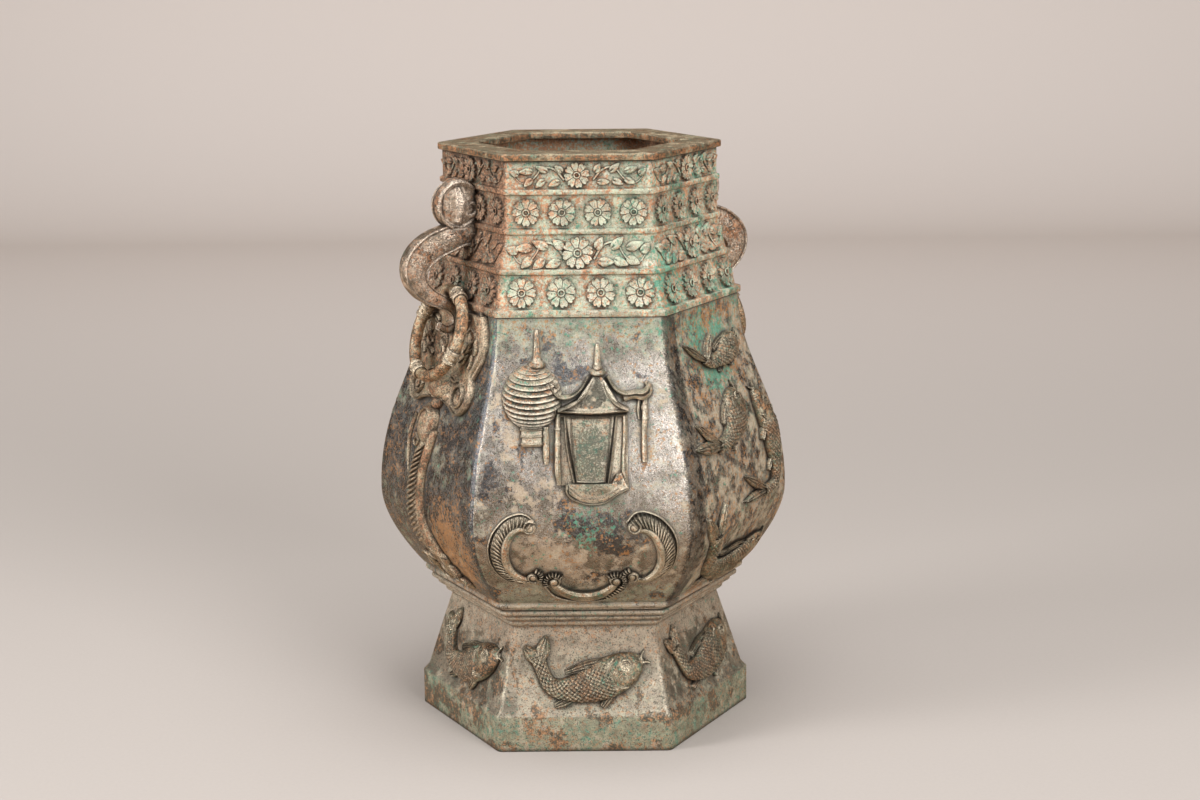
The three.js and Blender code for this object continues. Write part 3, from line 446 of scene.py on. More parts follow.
body_metal = patina(
    "body_bronze", relief=0.26, bronze="837b70", shine="bfb8b0", stain="353a43", dust="b4a18a",
    earth="b08050", verdigris="5aa389", film="a2ab96", rub=0.8, stain_cover=0.22, dust_cover=0.19,
    film_cover=0.2, earth_specks=0.22, verdigris_specks=0.13, pits=0.28, gloss=0.27, veins=0.2,
    masks=[("Film Cover", 0.45, "height", 196, 221), ("Verdigris Specks", 0.16, "height", 200, 219),
           ("Earth Specks", 0.1, "height", 200, 219),
           ("Streaks", 0.6, RIGHT_FISH_SIDE), ("Streaks", 0.6, HANDLE_SIDE),
           ("Dust Cover", 0.4, "blot", (-22, -90, 138), (26, FACE_REACH, 13)),
           ("Dust Cover", 0.35, "blot", (-20, -92, 108), (30, FACE_REACH, 16)),
           ("Dust Cover", 0.3, "blot", (12, -90, 96), (34, FACE_REACH, 13)),
           ("Dust Cover", 0.25, "blot", (-34, -86, 176), (16, FACE_REACH, 26)),
           ("Stain Cover", 0.25, "blot", (-42, -88, 142), (12, FACE_REACH, 16)),
           ("Stain Cover", 0.3, "blot", (10, -92, 122), (28, FACE_REACH, 13)),
           ("Stain Cover", 0.08, "blot", (14, -90, 100), (40, FACE_REACH, 14)),
           ("Film Cover", 0.3, "height", 98, 84), ("Dust Cover", 0.5, "height", 78.6, 77.2),
           ("Grime Cover", -0.5, "height", 78.6, 77.2),
           ("Stain Cover", 0.2, "blot", (-10, -80, 200), (34, FACE_REACH, 14)),
           ("Verdigris Specks", 0.25, "blot", (2, -92, 124), (20, FACE_REACH, 16)),
           # The left-front face is painted darker with the stain colour: partly stain, partly painted shade
           # and dark reflection on that side.
           ("Stain Cover", 0.5, HANDLE_SIDE), ("Film Cover", 0.2, HANDLE_SIDE),
           ("Dust Cover", 0.3, RIGHT_FISH_SIDE), ("Earth Specks", 0.06, HANDLE_SIDE),
           ("Dust Cover", -0.1, HANDLE_SIDE), ("Film Cover", 0.34, RIGHT_FISH_SIDE),
           ("Stain Cover", 0.28, RIGHT_FISH_SIDE), ("Earth Specks", 0.1, RIGHT_FISH_SIDE),
           # Darker strips are painted along the front-right and front-left corners of the body.
           ("Stain Cover", 0.15, RIGHT_EDGE, 0.9962, 0.999), ("Pits", 0.4, RIGHT_EDGE, 0.9968, 0.9992),
           ("Stain Cover", 0.5, LEFT_EDGE, 0.9998, 0.99995),
           ("Verdigris Specks", 0.45, "blot", (62, -36, 196), (34, 30, 26)),
           ("Film Cover", 0.3, "blot", (62, -36, 204), (34, 30, 20)),
           ("Earth Specks", 0.35, "blot", (-62, -62, 104), (26, 26, 26)),
           ("Dust Cover", 0.3, "blot", (-62, -62, 100), (26, 26, 22))])
flank = pear(0, 24)
lining = pear(BODY_WALL, 8)[1:]
body = six_sided("body_casting", [
    (BODY_EDGE - 4.4, BODY_BASE), (BODY_EDGE - 4.4, BODY_BASE + 1.6), (BODY_EDGE - 0.9, BODY_BASE + 1.8),
    (BODY_EDGE, BODY_BASE + 2.6), (BODY_EDGE, BODY_BASE + 3.8), (BODY_EDGE - 0.9, BODY_BASE + 4.7)]
    + flank[1:] + lining[::-1] + [(BODY_THROAT, BODY_BASE + BODY_BEAD), (BODY_THROAT, BODY_BASE)],
    cuts=14, rounding=5)


def face_bow(angle, level):
    """How far a face of the body swells out at that angle round the axis and that height."""
    off = math.degrees(angle) % 60 - 30
    face = (math.degrees(angle) - off) % 180
    if abs(face - HANDLE_SIDE % 180) < 1:
        return 0
    bend = max(0, abs(off) / 30 - BOW_FLAT) / (1 - BOW_FLAT)
    low = min(1, max(0, (level - BOW_ENDS[0]) / (BOW_ENDS[1] - BOW_ENDS[0])))
    high = min(1, max(0, (BOW_ENDS[3] - level) / (BOW_ENDS[3] - BOW_ENDS[2])))
    return FACE_BOW * (1 - bend ** 2) * low * high


for vertex in body.data.vertices:
    reach = math.hypot(vertex.co.x, vertex.co.y)
    grown = 1 + face_bow(math.atan2(vertex.co.y, vertex.co.x), vertex.co.z / MM) * MM / reach
    vertex.co.x *= grown
    vertex.co.y *= grown
soften(body, 0.35)
smooth(body)
hand_over(body, "body_shell", body_metal)

# Neck: a tapering casting in four bands parted by raised ridges, on a ledge that covers
# the joint with the body. Pale verdigris and salmon earth lie over the bronze.
NECK_LEVELS = [221.8, 243.1, 262.2, 281.4, 296.2]
NECK_RADII = [81, 75.7, 70.7, 70.3, 70.3]
NECK_WALL = 4.6
LEDGE_RADIUS = 82.9
LEDGE_TOP = 225
NECK_START = 225.6
RIDGE_PROUD = 1.6
RIDGE_CREST = 1.1
RIDGE_ROOT = 1.7
neck_metal = patina(
    "neck_bronze", relief=0.4, bronze="a59d88", shine="dcd8c6", stain="655a48", dust="c0c6ae",
    earth="cf946c", verdigris="54a68b", film="b7c1a8", rub=0.2, stain_cover=0.18, dust_cover=0.46,
    film_cover=0.5, earth_specks=0.34, verdigris_specks=0.22, pits=0.28, gloss=0.36, veins=0.5,
    masks=[("Dust Cover", -0.15, HANDLE_SIDE), ("Film Cover", -0.35, HANDLE_SIDE),
           ("Earth Specks", 0.24, HANDLE_SIDE), ("Pits", 0.25, HANDLE_SIDE), ("Veins", 0.5, HANDLE_SIDE),
           ("Verdigris Specks", 0.14, RIGHT_FISH_SIDE), ("Earth Specks", 0.08, RIGHT_FISH_SIDE),
           ("Verdigris Specks", 0.35, "blot", (40, -60, 236), (14, 30, 16)),
           ("Earth Specks", 0.12, "blot", (-30, -66, 260), (20, 30, 40)),
           ("Dust Cover", 0.4, "inward"), ("Earth Specks", 0.2, "inward"), ("Grime Cover", -0.6, "inward")])
neck_flank = list(zip(NECK_RADII, NECK_LEVELS))


def width_at(line, level):
    """The width at a level on a line of (width, level) points that climbs."""
    for (wide, low), (slim, high) in zip(line, line[1:]):
        if level <= high:
            return wide + (slim - wide) * (level - low) / (high - low)
    return line[-1][0]


def neck_radius(level):
    return width_at(neck_flank, level)


neck_line = [(LEDGE_RADIUS, NECK_LEVELS[0]), (LEDGE_RADIUS, LEDGE_TOP), (neck_radius(NECK_START), NECK_START)]
for level in NECK_LEVELS[1:-1]:
    proud = neck_radius(level) + RIDGE_PROUD
    neck_line += [(neck_radius(level - RIDGE_ROOT), level - RIDGE_ROOT), (proud, level - RIDGE_CREST),
                  (proud, level + RIDGE_CREST), (neck_radius(level + RIDGE_ROOT), level + RIDGE_ROOT)]
neck_line += [(NECK_RADII[-1], NECK_LEVELS[-1])]
neck = six_sided("neck_casting", neck_line + [
    (radius - NECK_WALL, level) for radius, level in reversed(neck_flank)])
soften(neck, 0.3)
smooth(neck)
hand_over(neck, "neck", neck_metal)

# Mouth rim: a flat six-sided frame of bronze that lies on the neck and stands a little out
# and in from it. Its top is stained brown, with rubbed wear and painted highlight along the edges.
RIM_RADIUS = 72.6
RIM_BORE = 53
RIM_UNDERSIDE = 296.5
RIM_TOP = 300
ON_RIM_TOP = ("height", 299.6, 299.0)
rim_metal = patina(
    "rim_bronze", relief=0.35, bronze="94866e", shine="cdbfa3", stain="5a5040", dust="b2a486",
    earth="bd865c", verdigris="7ba48d", film="9c9c84", rub=0.6, stain_cover=0.38, dust_cover=0.32,
    film_cover=0.3, earth_specks=0.3, verdigris_specks=0.2, pits=0.38, gloss=0.36, matt=0.1,
    masks=[("Earth Specks", 0.16, *ON_RIM_TOP), ("Stain Cover", 0.3, *ON_RIM_TOP)])
rim = six_sided("mouth_rim_casting", [
    (RIM_RADIUS, RIM_UNDERSIDE), (RIM_RADIUS, RIM_TOP), (RIM_BORE, RIM_TOP), (RIM_BORE, RIM_UNDERSIDE)])
soften(rim, 0.6)
smooth(rim)
hand_over(rim, "mouth_rim", rim_metal)

# Flowers of the neck: one pattern on all six faces, cast in low relief. Large flowers with
# leafy vines fill the first and third bands, and rows of small flowers the other two.
BAND_MIDDLES = [289.6, 271.6, 252.2, 233.4]
FLOWER_RELIEF = 1.5
STEM_START = 7


def bead(x, y, wide, tall, relief, turn=0, around=10, rings=6):
    """A flattened ball half sunk in the board."""
    deselect()
    bpy.ops.mesh.primitive_uv_sphere_add(segments=around, ring_count=rings, radius=MM)
    made = bpy.context.object
    made.scale = (wide, tall, relief)
    made.rotation_euler.z = math.radians(turn)
    made.location = (x * MM, y * MM, 0)
    bpy.ops.object.transform_apply()
    return made


def roll(points, widths, lift=1.0, steps=5, sides=2, z=0):
    """A round bar through points on the board, half sunk; its half widths run from end to end."""
    deselect()
    bpy.ops.curve.primitive_bezier_curve_add()
    bar = bpy.context.object
    line = bar.data.splines[0]
    line.bezier_points.add(len(points) - 2)
    for i, (knot, (x, y)) in enumerate(zip(line.bezier_points, points)):
        knot.co = (x * MM, y * MM, 0)
        knot.handle_left_type = knot.handle_right_type = "AUTO"
        share = i / (len(points) - 1) * (len(widths) - 1)
        low = min(int(share), len(widths) - 2) if len(widths) > 1 else 0
        high = min(low + 1, len(widths) - 1)
        knot.radius = widths[low] + (widths[high] - widths[low]) * (share - low)
    bar.data.twist_mode = "Z_UP"
    bar.data.bevel_depth = MM
    bar.data.bevel_resolution = sides
    bar.data.resolution_u = steps
    bar.data.use_fill_caps = True
    bpy.ops.object.convert(target="MESH")
    bar = bpy.context.object
    bar.scale.z = lift
    bar.location.z = z * MM
    bpy.ops.object.transform_apply()
    return bar


def curl(x, y, radius, turns, start, widths, lift=1.0, hand=1):
    """A spiral roll that winds inwards from its start angle."""
    count = max(6, int(turns * 8))
    points = []
    for i in range(count + 1):
        share = i / count
        angle = math.radians(start) + hand * share * turns * 2 * math.pi
        reach = radius * (1 - 0.8 * share)
        points.append((x + reach * math.cos(angle), y + reach * math.sin(angle)))
    return roll(points, widths, lift, steps=3)


def copies(pattern, places):
    """Copies of a pattern, each turned, sized and set at its own place on the board."""
    made = []
    for x, y, turn, size in places:
        copy = pattern.copy()
        copy.data = pattern.data.copy()
        bpy.context.scene.collection.objects.link(copy)
        copy.data.transform(
            Matrix.Translation((x * MM, y * MM, 0)) @ Matrix.Rotation(math.radians(turn), 4, "Z")
            @ Matrix.Diagonal((size, size, 1, 1)))
        made.append(copy)
    bpy.data.objects.remove(pattern)
    return made


def together(name, parts):
    deselect()
    for part in parts:
        part.select_set(True)
    bpy.context.view_layer.objects.active = parts[0]
    bpy.ops.object.join()
    parts[0].name = name
    return parts[0]


def twin(piece, name):
    made = piece.copy()
    made.data = piece.data.copy()
    made.name = name
    bpy.context.scene.collection.objects.link(made)
    return made


def turn_outwards(piece):
    choose(piece)
    bpy.ops.object.mode_set(mode="EDIT")
    bpy.ops.mesh.select_all(action="SELECT")
    bpy.ops.mesh.normals_make_consistent(inside=False)
    bpy.ops.object.mode_set(mode="OBJECT")
    return piece


def lay_on_wall(piece, facing, radius_at, base=0, bow=None):
    """Bends a pattern drawn flat (across, up, out) onto the wall that faces that way."""
    out = Vector(side_vector(facing))
    across = Vector((-out.y, out.x, 0))
    for vertex in piece.data.vertices:
        level = vertex.co.y + base * MM
        reach = radius_at(level / MM) * MM * FLAT_SHARE + vertex.co.z
        if bow:
            reach += bow(math.radians(facing) + math.atan2(vertex.co.x, reach), level / MM) * MM
        vertex.co = out * reach + across * vertex.co.x + Vector((0, 0, level))
    return turn_outwards(piece)


def cushion(long, wide, place):
    """A grid shaped by a rule for each of its points, with its rim sunk under the board."""
    deselect()
    bpy.ops.mesh.primitive_grid_add(x_subdivisions=long, y_subdivisions=wide, size=1)
    made = bpy.context.object
    for vertex in made.data.vertices:
        share, side = vertex.co.x + 0.5, math.sin(math.pi * vertex.co.y)
        x, y, z = place(share, side)
        if share < 0.001 or share > 0.999 or abs(side) > 0.999:
            z = -1.0
        vertex.co = (x * MM, y * MM, z * MM)
    return made


def circle_points(x, y, radius, count):
    """Points round a circle, with the first one again at the end."""
    angles = [2 * i * math.pi / count for i in range(count + 1)]
    return [(x + radius * math.cos(angle), y + radius * math.sin(angle)) for angle in angles]


def flower(diameter, petals=8):
    """A flower of broad cleft petals round a ringed button."""
    reach = diameter / 2
    half_angle = math.radians(180 / petals)

    def petal_place(share, side):
        share = 1 - (1 - share) ** 1.6
        cleft = math.exp(-(side / 0.25) ** 2)
        far = reach * (0.18 + 0.82 * share * (1 - share ** 4 * (0.22 * cleft + 0.4 * side ** 2)))
        turn = side * half_angle
        brim = max(abs(side) ** 3, share ** 5)
        full = (1 - side ** 8) * (0.45 + 0.55 * brim) - 0.12 * cleft * share
        return far * math.cos(turn), far * math.sin(turn), FLOWER_RELIEF * (0.55 + 0.6 * full)

    petal = cushion(10, 12, petal_place)
    parts = copies(petal, [(0, 0, 360 * i / petals, 1) for i in range(petals)])
    parts.append(bead(0, 0, reach * 0.9, reach * 0.9, FLOWER_RELIEF * 0.8, 0, 24, 6))
    parts.append(roll(circle_points(0, 0, reach * 0.2, 10), [0.4], 1, 1, 1, z=FLOWER_RELIEF * 1.05))
    return together("flower", parts)


def leaf(length, width, relief=FLOWER_RELIEF):
    """A pointed leaf with a sunk vein down its middle and a slight bend."""

    def leaf_place(share, side):
        half = width / 2 * math.sin(math.pi * share ** 0.75)
        vein = math.exp(-(side / 0.22) ** 2)
        height = relief * (0.5 + 0.5 * math.sqrt(max(0, 1 - side * side)) - 0.55 * vein * (1 - share))
        return length * share, side * half + length * 0.14 * share * share, height

    return cushion(9, 8, leaf_place)


def vine(side, level, reach, tall):
    """A stem that waves away from the large flower, with leaves to both sides of it."""
    way = reach - STEM_START
    stem = [(side * (STEM_START + way * s), level + tall * math.sin(s * 7 - 0.6) * 0.42)
            for s in (0, 0.2, 0.4, 0.6, 0.8, 1)]
    parts = [roll(stem, [0.75, 0.6, 0.35], 1.4, 3, 1)]
    turned = 0 if side > 0 else 180
    spots = [(0.02, 0.1, 50, 7.5), (0.06, -0.3, -12, 9), (0.3, 0.12, 34, 9.5), (0.36, -0.22, -30, 8.5),
             (0.58, 0.16, 8, 10), (0.6, -0.16, -34, 8), (0.86, 0.0, 30, 7)]
    for share, rise, turn, length in spots:
        lean = turned + side * turn
        place = (side * (STEM_START + way * share), level + rise * tall, lean, tall / 13)
        parts += copies(leaf(length, 4.8), [place])
    return parts


def neck_pattern():
    parts = []
    for level, tall, reach in ((BAND_MIDDLES[0], 10, 32), (BAND_MIDDLES[2], 13, 33)):
        parts += copies(flower(tall + 3.5), [(-0.9, level, 11, 1)])
        for side in (-1, 1):
            parts += vine(side, level, reach, tall)
    rows = ((BAND_MIDDLES[1], 14.4, 17.4, 0.4), (BAND_MIDDLES[3], 15.4, 19.2, 0.6))
    for level, diameter, pitch, shift in rows:
        places = [(shift + pitch * (i - 1.5), level, 13 * i, 1) for i in range(4)]
        parts += copies(flower(diameter), places)
    return together("neck_flowers", parts)


pattern = neck_pattern()
faces = []
for index in range(SIDES):
    face = twin(pattern, "neck_face")
    faces.append(lay_on_wall(face, 30 + 60 * index, neck_radius))
bpy.data.objects.remove(pattern)
neck_flowers = together("neck_flowers", faces)
smooth(neck_flowers, 60)
neck_flowers.data.materials.append(neck_metal)
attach(neck_flowers, "vase")

# Handles: each a flat scroll cast in one, standing out from a face of the neck. A bead runs
# along both edges of its broad sides, and a rounded lobe meets the neck at the top.
HANDLE_THICKNESS = 8.5
STRAP_FLATNESS = 0.304
HANDLE_PATH = [
    (-2, 36.2, 13), (6, 36.5, 13.5), (14, 34, 14), (23, 30, 14.5), (28.2, 23.5, 14), (28, 17.5, 12.6),
    (24.5, 11.5, 10.6), (18.5, 6.6, 8.6), (11.5, 3.2, 7.4), (4.6, 0, 6.4), (1.6, -5, 5.2),
    (2.6, -9.6, 4.8), (7, -11.2, 4.6), (11, -9.4, 4)]
STRAP_SECTION = [
    (-0.5, 0.4), (-0.48, 0.8), (-0.44, 0.92), (-0.4, 0.8), (-0.38, 0.6), (-0.3, 0.7), (-0.16, 0.92), (0, 1),
    (0.16, 0.92), (0.3, 0.7), (0.38, 0.6), (0.4, 0.8), (0.44, 0.92), (0.48, 0.8), (0.5, 0.4)]
LOBE_LEVEL = 50.6
LOBE_REACH = 9.4
LOBE_RADIUS = 11.6
LOBE_HOLLOW = 10.2
HANDLE_SIDES = (("left", HANDLE_SIDE), ("right", HANDLE_SIDE - 180))
handle_metal = patina(
    "handle_bronze", relief=0.4, bronze="9a8977", shine="eadac8", stain="473b31", dust="c8ae96",
    earth="c68f68", verdigris="78957f", film="9c947e", rub=1.0, stain_cover=0.38, dust_cover=0.34,
    film_cover=0.2, earth_specks=0.36, verdigris_specks=0.08, pits=0.42, gloss=0.26, matt=0.05, veins=0.5)


def neck_or_body_flat(level):
    radius = neck_radius(level) if level > NECK_LEVELS[0] else SHOULDER_RADIUS
    return radius * FLAT_SHARE


def stand_out(piece, facing):
    """Turns a pattern drawn as (away from the axis, up, sideways) to stand out that way."""
    out = Vector(side_vector(facing))
    across = Vector((-out.y, out.x, 0))
    piece.data.transform(Matrix((out, (0, 0, 1), across)).transposed().to_4x4())
    return turn_outwards(piece)


def strap():
    """The scroll, swept along its middle line with the section of a beaded bar."""
    deselect()
    half = HANDLE_THICKNESS / 2
    bpy.ops.curve.primitive_bezier_circle_add()
    profile = bpy.context.object
    profile.data.splines.clear()
    edge = profile.data.splines.new("POLY")
    loop = STRAP_SECTION + [(x, -y) for x, y in reversed(STRAP_SECTION)]
    edge.points.add(len(loop) - 1)
    for point, (x, y) in zip(edge.points, loop):
        point.co = (x, y * STRAP_FLATNESS, 0, 1)
    edge.use_cyclic_u = True
    deselect()
    bpy.ops.curve.primitive_bezier_curve_add()
    bar = bpy.context.object
    line = bar.data.splines[0]
    line.bezier_points.add(len(HANDLE_PATH) - 2)
    for knot, (reach, height, width) in zip(line.bezier_points, HANDLE_PATH):
        level = NECK_LEVELS[0] + height
        knot.co = ((neck_or_body_flat(level) + reach) * MM, level * MM, 0)
        knot.handle_left_type = knot.handle_right_type = "AUTO"
        knot.radius = width * MM
    bar.data.dimensions = "2D"
    bar.data.bevel_mode = "OBJECT"
    bar.data.bevel_object = profile
    bar.data.resolution_u = 6
    bar.data.fill_mode = "NONE"
    bar.data.use_fill_caps = True
    bpy.ops.object.convert(target="MESH")
    bar = bpy.context.object
    bpy.data.objects.remove(profile)
    for vertex in bar.data.vertices:
        share = min(1, abs(vertex.co.z) / (half * MM))
        vertex.co.z = math.copysign(half * MM * math.sqrt(share), vertex.co.z)
    return bar


def lobe():
    """The rounded head: a thick button with a beaded rim, a ridge and a small volute."""
    level = NECK_LEVELS[0] + LOBE_LEVEL
    centre = (neck_or_body_flat(level) + LOBE_REACH, level)
    deselect()
    bpy.ops.mesh.primitive_uv_sphere_add(segments=32, ring_count=18, radius=LOBE_RADIUS * MM)
    head = bpy.context.object
    head.scale = (1, 1.06, 0.54)
    head.location = (centre[0] * MM, centre[1] * MM, 0)
    bpy.ops.object.transform_apply()
    bpy.ops.object.mode_set(mode="EDIT")
    pick(lambda v: (Vector((v.co.x, v.co.y)) - Vector(centre) * MM).length > LOBE_HOLLOW * MM)
    bpy.ops.transform.resize(value=(1, 1, 1.5), center_override=(0, 0, 0))
    pick(lambda v: v.co.y > (centre[1] + 10.5) * MM)
    bpy.ops.transform.translate(value=(-0.5 * MM, 1.2 * MM, 0))
    bpy.ops.object.mode_set(mode="OBJECT")
    parts = [head]
    for side in (-1, 1):
        rim_points = [(centre[0] + 10.9 * math.cos(a), centre[1] + 11.4 * math.sin(a))
                      for a in [math.radians(-70 + 26 * i) for i in range(9)]]
        rim_line = roll(rim_points, [0.9], 1, 4, 2, z=side * 3.9)
        crest = [(centre[0] + 0.6, centre[1] + 9), (centre[0] - 0.6, centre[1] + 2),
                 (centre[0] + 1.4, centre[1] - 8)]
        ridge = roll(crest, [1.6, 3.6, 2.6], 1, 6, 4, z=side * 3.6)
        volute = curl(centre[0] - 5.6, centre[1] - 1.5, 5, 1.5, 80, [1.5, 0.9], 1, -1)
        volute.data.transform(Matrix.Translation((0, 0, side * 4.7 * MM)))
        parts += [rim_line, ridge, volute]
    return parts


handle_shape = together("handle_shape", [strap()] + lobe())
for name, facing in HANDLE_SIDES:
    handle = stand_out(twin(handle_shape, "scroll_handle_" + name), facing)
    smooth(handle, 40)
    hand_over(handle, "handle_" + name, handle_metal)
bpy.data.objects.remove(handle_shape)

# Rings: a round bronze ring hangs loose in each handle and leans on the plate behind it.
# Four sleeves with double borders and dots sit on its wire.
RING_RADIUS = 22.3
WIRE_RADIUS = 3
RING_LEAN = 21
RING_LEVEL = 229.8
RING_REACH = 74.02
SLEEVES = 4
SLEEVE_START = -23
SLEEVE_RADIUS = 3.5
SLEEVE_LENGTH = 6.4
BORDER_RADIUS = 3.4
BORDER_WIRE = 0.5
BORDER_STEPS = (2.2, 3.1)
DOTS = 6
DOT_RADIUS = 0.75
ring_metal = patina(
    "ring_bronze", relief=0.35, bronze="b9a585", shine="f2e4cc", stain="4e4029", dust="d8c29c",
    earth="cc9468", verdigris="8faa90", film="b3a98c", rub=0.8, stain_cover=0.46, dust_cover=0.36,
    film_cover=0.14, earth_specks=0.42, verdigris_specks=0.12, pits=0.44, veins=0.5, gloss=0.28, matt=0.05)


def collar():
    """A sleeve along y, with two border wires at each end and dots round its middle."""
    deselect()
    bpy.ops.mesh.primitive_cylinder_add(
        vertices=18, radius=SLEEVE_RADIUS * MM, depth=SLEEVE_LENGTH * MM, rotation=(math.pi / 2, 0, 0))
    parts = [bpy.context.object]
    bpy.ops.object.transform_apply()
    for end in (-1, 1):
        for step in BORDER_STEPS:
            deselect()
            bpy.ops.mesh.primitive_torus_add(
                major_radius=BORDER_RADIUS * MM, minor_radius=BORDER_WIRE * MM, major_segments=18,
                minor_segments=6, location=(0, end * step * MM, 0), rotation=(math.pi / 2, 0, 0))
            bpy.ops.object.transform_apply()
            parts.append(bpy.context.object)
    for k in range(DOTS):
        angle = k * math.pi / 3
        dot = bead(0, 0, DOT_RADIUS, DOT_RADIUS, DOT_RADIUS, 0, 8, 5)
        place = (BORDER_RADIUS * MM * math.cos(angle), 0, BORDER_RADIUS * MM * math.sin(angle))
        dot.data.transform(Matrix.Translation(place))
        parts.append(dot)
    return together("collar", parts)


def loose_ring(name, facing):
    deselect()
    bpy.ops.mesh.primitive_torus_add(
        major_radius=RING_RADIUS * MM, minor_radius=WIRE_RADIUS * MM, major_segments=72, minor_segments=14)
    parts = [bpy.context.object]
    for i in range(SLEEVES):
        turn = Matrix.Rotation(math.radians(SLEEVE_START + 90 * i), 4, "Z")
        sleeve = collar()
        sleeve.data.transform(turn @ Matrix.Translation((RING_RADIUS * MM, 0, 0)))
        parts.append(sleeve)
    ring = together(name, parts)
    lean = math.radians(RING_LEAN)
    centre = Vector((0, -RING_RADIUS * math.cos(lean), RING_RADIUS * math.sin(lean))) * MM
    ring.data.transform(Matrix.Translation(centre) @ Matrix.Rotation(-lean, 4, "X"))
    out = Vector(side_vector(facing))
    across = Vector((-out.y, out.x, 0))
    upright = Matrix((across, (0, 0, 1), out)).transposed().to_4x4()
    pivot = out * RING_REACH * MM + Vector((0, 0, RING_LEVEL * MM))
    ring.data.transform(Matrix.Translation(pivot) @ upright)
    smooth(ring, 40)
    return ring


for name, facing in HANDLE_SIDES:
    ring = loose_ring("loose_ring_" + name, facing)
    hand_over(ring, "ring_" + name, ring_metal, name + "_ring")

# Escutcheons: cloud-edged plates soldered to the body behind the rings, with a raised
# border, curls, leaves and two roundels. Earth and verdigris fill them.
earthy_metal = patina(
    "earthy_bronze", relief=0.4, bronze="b39b7c", shine="e8d7bc", stain="4c402f", dust="d8c4a4",
    earth="d09a74", verdigris="6fa388", film="a4a488", rub=0.9, stain_cover=0.46, dust_cover=0.34,
    film_cover=0.24, earth_specks=0.44, verdigris_specks=0.26, pits=0.5, veins=0.6, gloss=0.34, matt=0.15)
SHIELD_EDGE = [
    (33, 147.6), (36, 134), (34.5, 126), (29.5, 116.5), (32.5, 110), (31, 103), (25, 98.5), (16, 101),
    (8, 102.5)]
ROUNDEL = (22, 107.5)


def body_radius(level):
    return width_at(flank, level)


def course(piece, step=4):
    """Cuts a flat pattern across at even heights, so that it can follow the wall's curve."""
    choose(piece)
    bpy.ops.object.mode_set(mode="EDIT")
    heights = [v.co.y for v in piece.data.vertices]
    level = min(heights) + step * MM
    while level < max(heights):
        bpy.ops.mesh.select_all(action="SELECT")
        bpy.ops.mesh.bisect(plane_co=(0, level, 0), plane_no=(0, 1, 0))
        level += step * MM
    bpy.ops.object.mode_set(mode="OBJECT")
    return piece


def slab(outline, relief, ease, root=1.2):
    """A flat plate with eased edges, drawn round its outline and rooted under the board."""
    deselect()
    bpy.ops.mesh.primitive_circle_add(vertices=len(outline), radius=MM, fill_type="NGON")
    plate = bpy.context.object
    for vertex, (x, y) in zip(plate.data.vertices, outline):
        vertex.co = (x * MM, y * MM, -root * MM)
    bpy.ops.object.mode_set(mode="EDIT")
    bpy.ops.mesh.select_all(action="SELECT")
    bpy.ops.mesh.extrude_region_move(TRANSFORM_OT_translate={"value": (0, 0, (relief + root) * MM)})
    bpy.ops.mesh.bevel(offset=ease * MM, segments=2)
    bpy.ops.object.mode_set(mode="OBJECT")
    return course(plate)


def escutcheon_pattern():
    mirrored = [(-x, y) for x, y in reversed(SHIELD_EDGE)]
    parts = [slab(SHIELD_EDGE + mirrored, 2.6, 0.9)]
    for side in (-1, 1):
        edge = [(side * (x - 1), y + 0.6) for x, y in SHIELD_EDGE]
        parts.append(roll(edge, [0.7, 0.85, 0.7], 4.6, 5, 2))
        lining = [(side * (x - 3.6), y + 2.4) for x, y in SHIELD_EDGE[:-1]]
        parts.append(roll(lining, [0.5], 5.6, 5, 1))
        roundel = (side * ROUNDEL[0], ROUNDEL[1])
        parts.append(bead(*roundel, 6.6, 6.6, 4.2, 0, 20, 10))
        parts.append(roll(circle_points(*roundel, 5, 10), [1], 4.6, 3, 2))
        parts.append(curl(*roundel, 3.2, 1.2, 30, [0.9, 0.5], 5.6, side))
        parts.append(curl(side * 7, 130.5, 5, 1.5, 90, [1.1, 0.7], 3.8, side))
        parts.append(curl(side * 22, 136, 6, 1.5, -60, [1.2, 0.7], 3.4, -side))
        for x, y, turn, length in ((14, 122, 28, 11), (17, 127, 42, 11), (10, 116, -20, 9), (24, 121, 62, 9),
                                   (12, 139, 30, 10), (4, 124, 70, 9), (28, 128, 80, 9)):
            blade = leaf(length, 4.6, 4.6)
            parts += copies(blade, [(side * x, y, turn if side > 0 else 180 - turn, 1)])
        parts.append(bead(side * 9, 106, 5, 3.6, 4.2, 0, 14, 8))
    parts.append(bead(0, 110, 13, 7.5, 7.2, 0, 20, 10))
    parts.append(bead(0, 101.5, 4.5, 4, 4.4, 0, 14, 8))
    return together("escutcheon_shape", parts)


shield = escutcheon_pattern()
for name, facing in HANDLE_SIDES:
    plate = lay_on_wall(twin(shield, "cloud_plate_" + name), facing, body_radius, BODY_BASE, face_bow)
    smooth(plate, 40)
    hand_over(plate, "escutcheon_" + name, earthy_metal)
bpy.data.objects.remove(shield)

# Ribbons: a volute under each plate from which a feathered band hangs, with clouds at its
# foot. Cast apart and soldered on, with pale earth rubbed into it.


def along(points, share):
    """The place on a line of points at that share of its length."""
    lengths = [math.dist(a, b) for a, b in zip(points, points[1:])]
    rest = share * sum(lengths)
    for (a, b), length in zip(zip(points, points[1:]), lengths):
        if rest <= length:
            return tuple(p + (q - p) * rest / length for p, q in zip(a, b))
        rest -= length
    return points[-1]


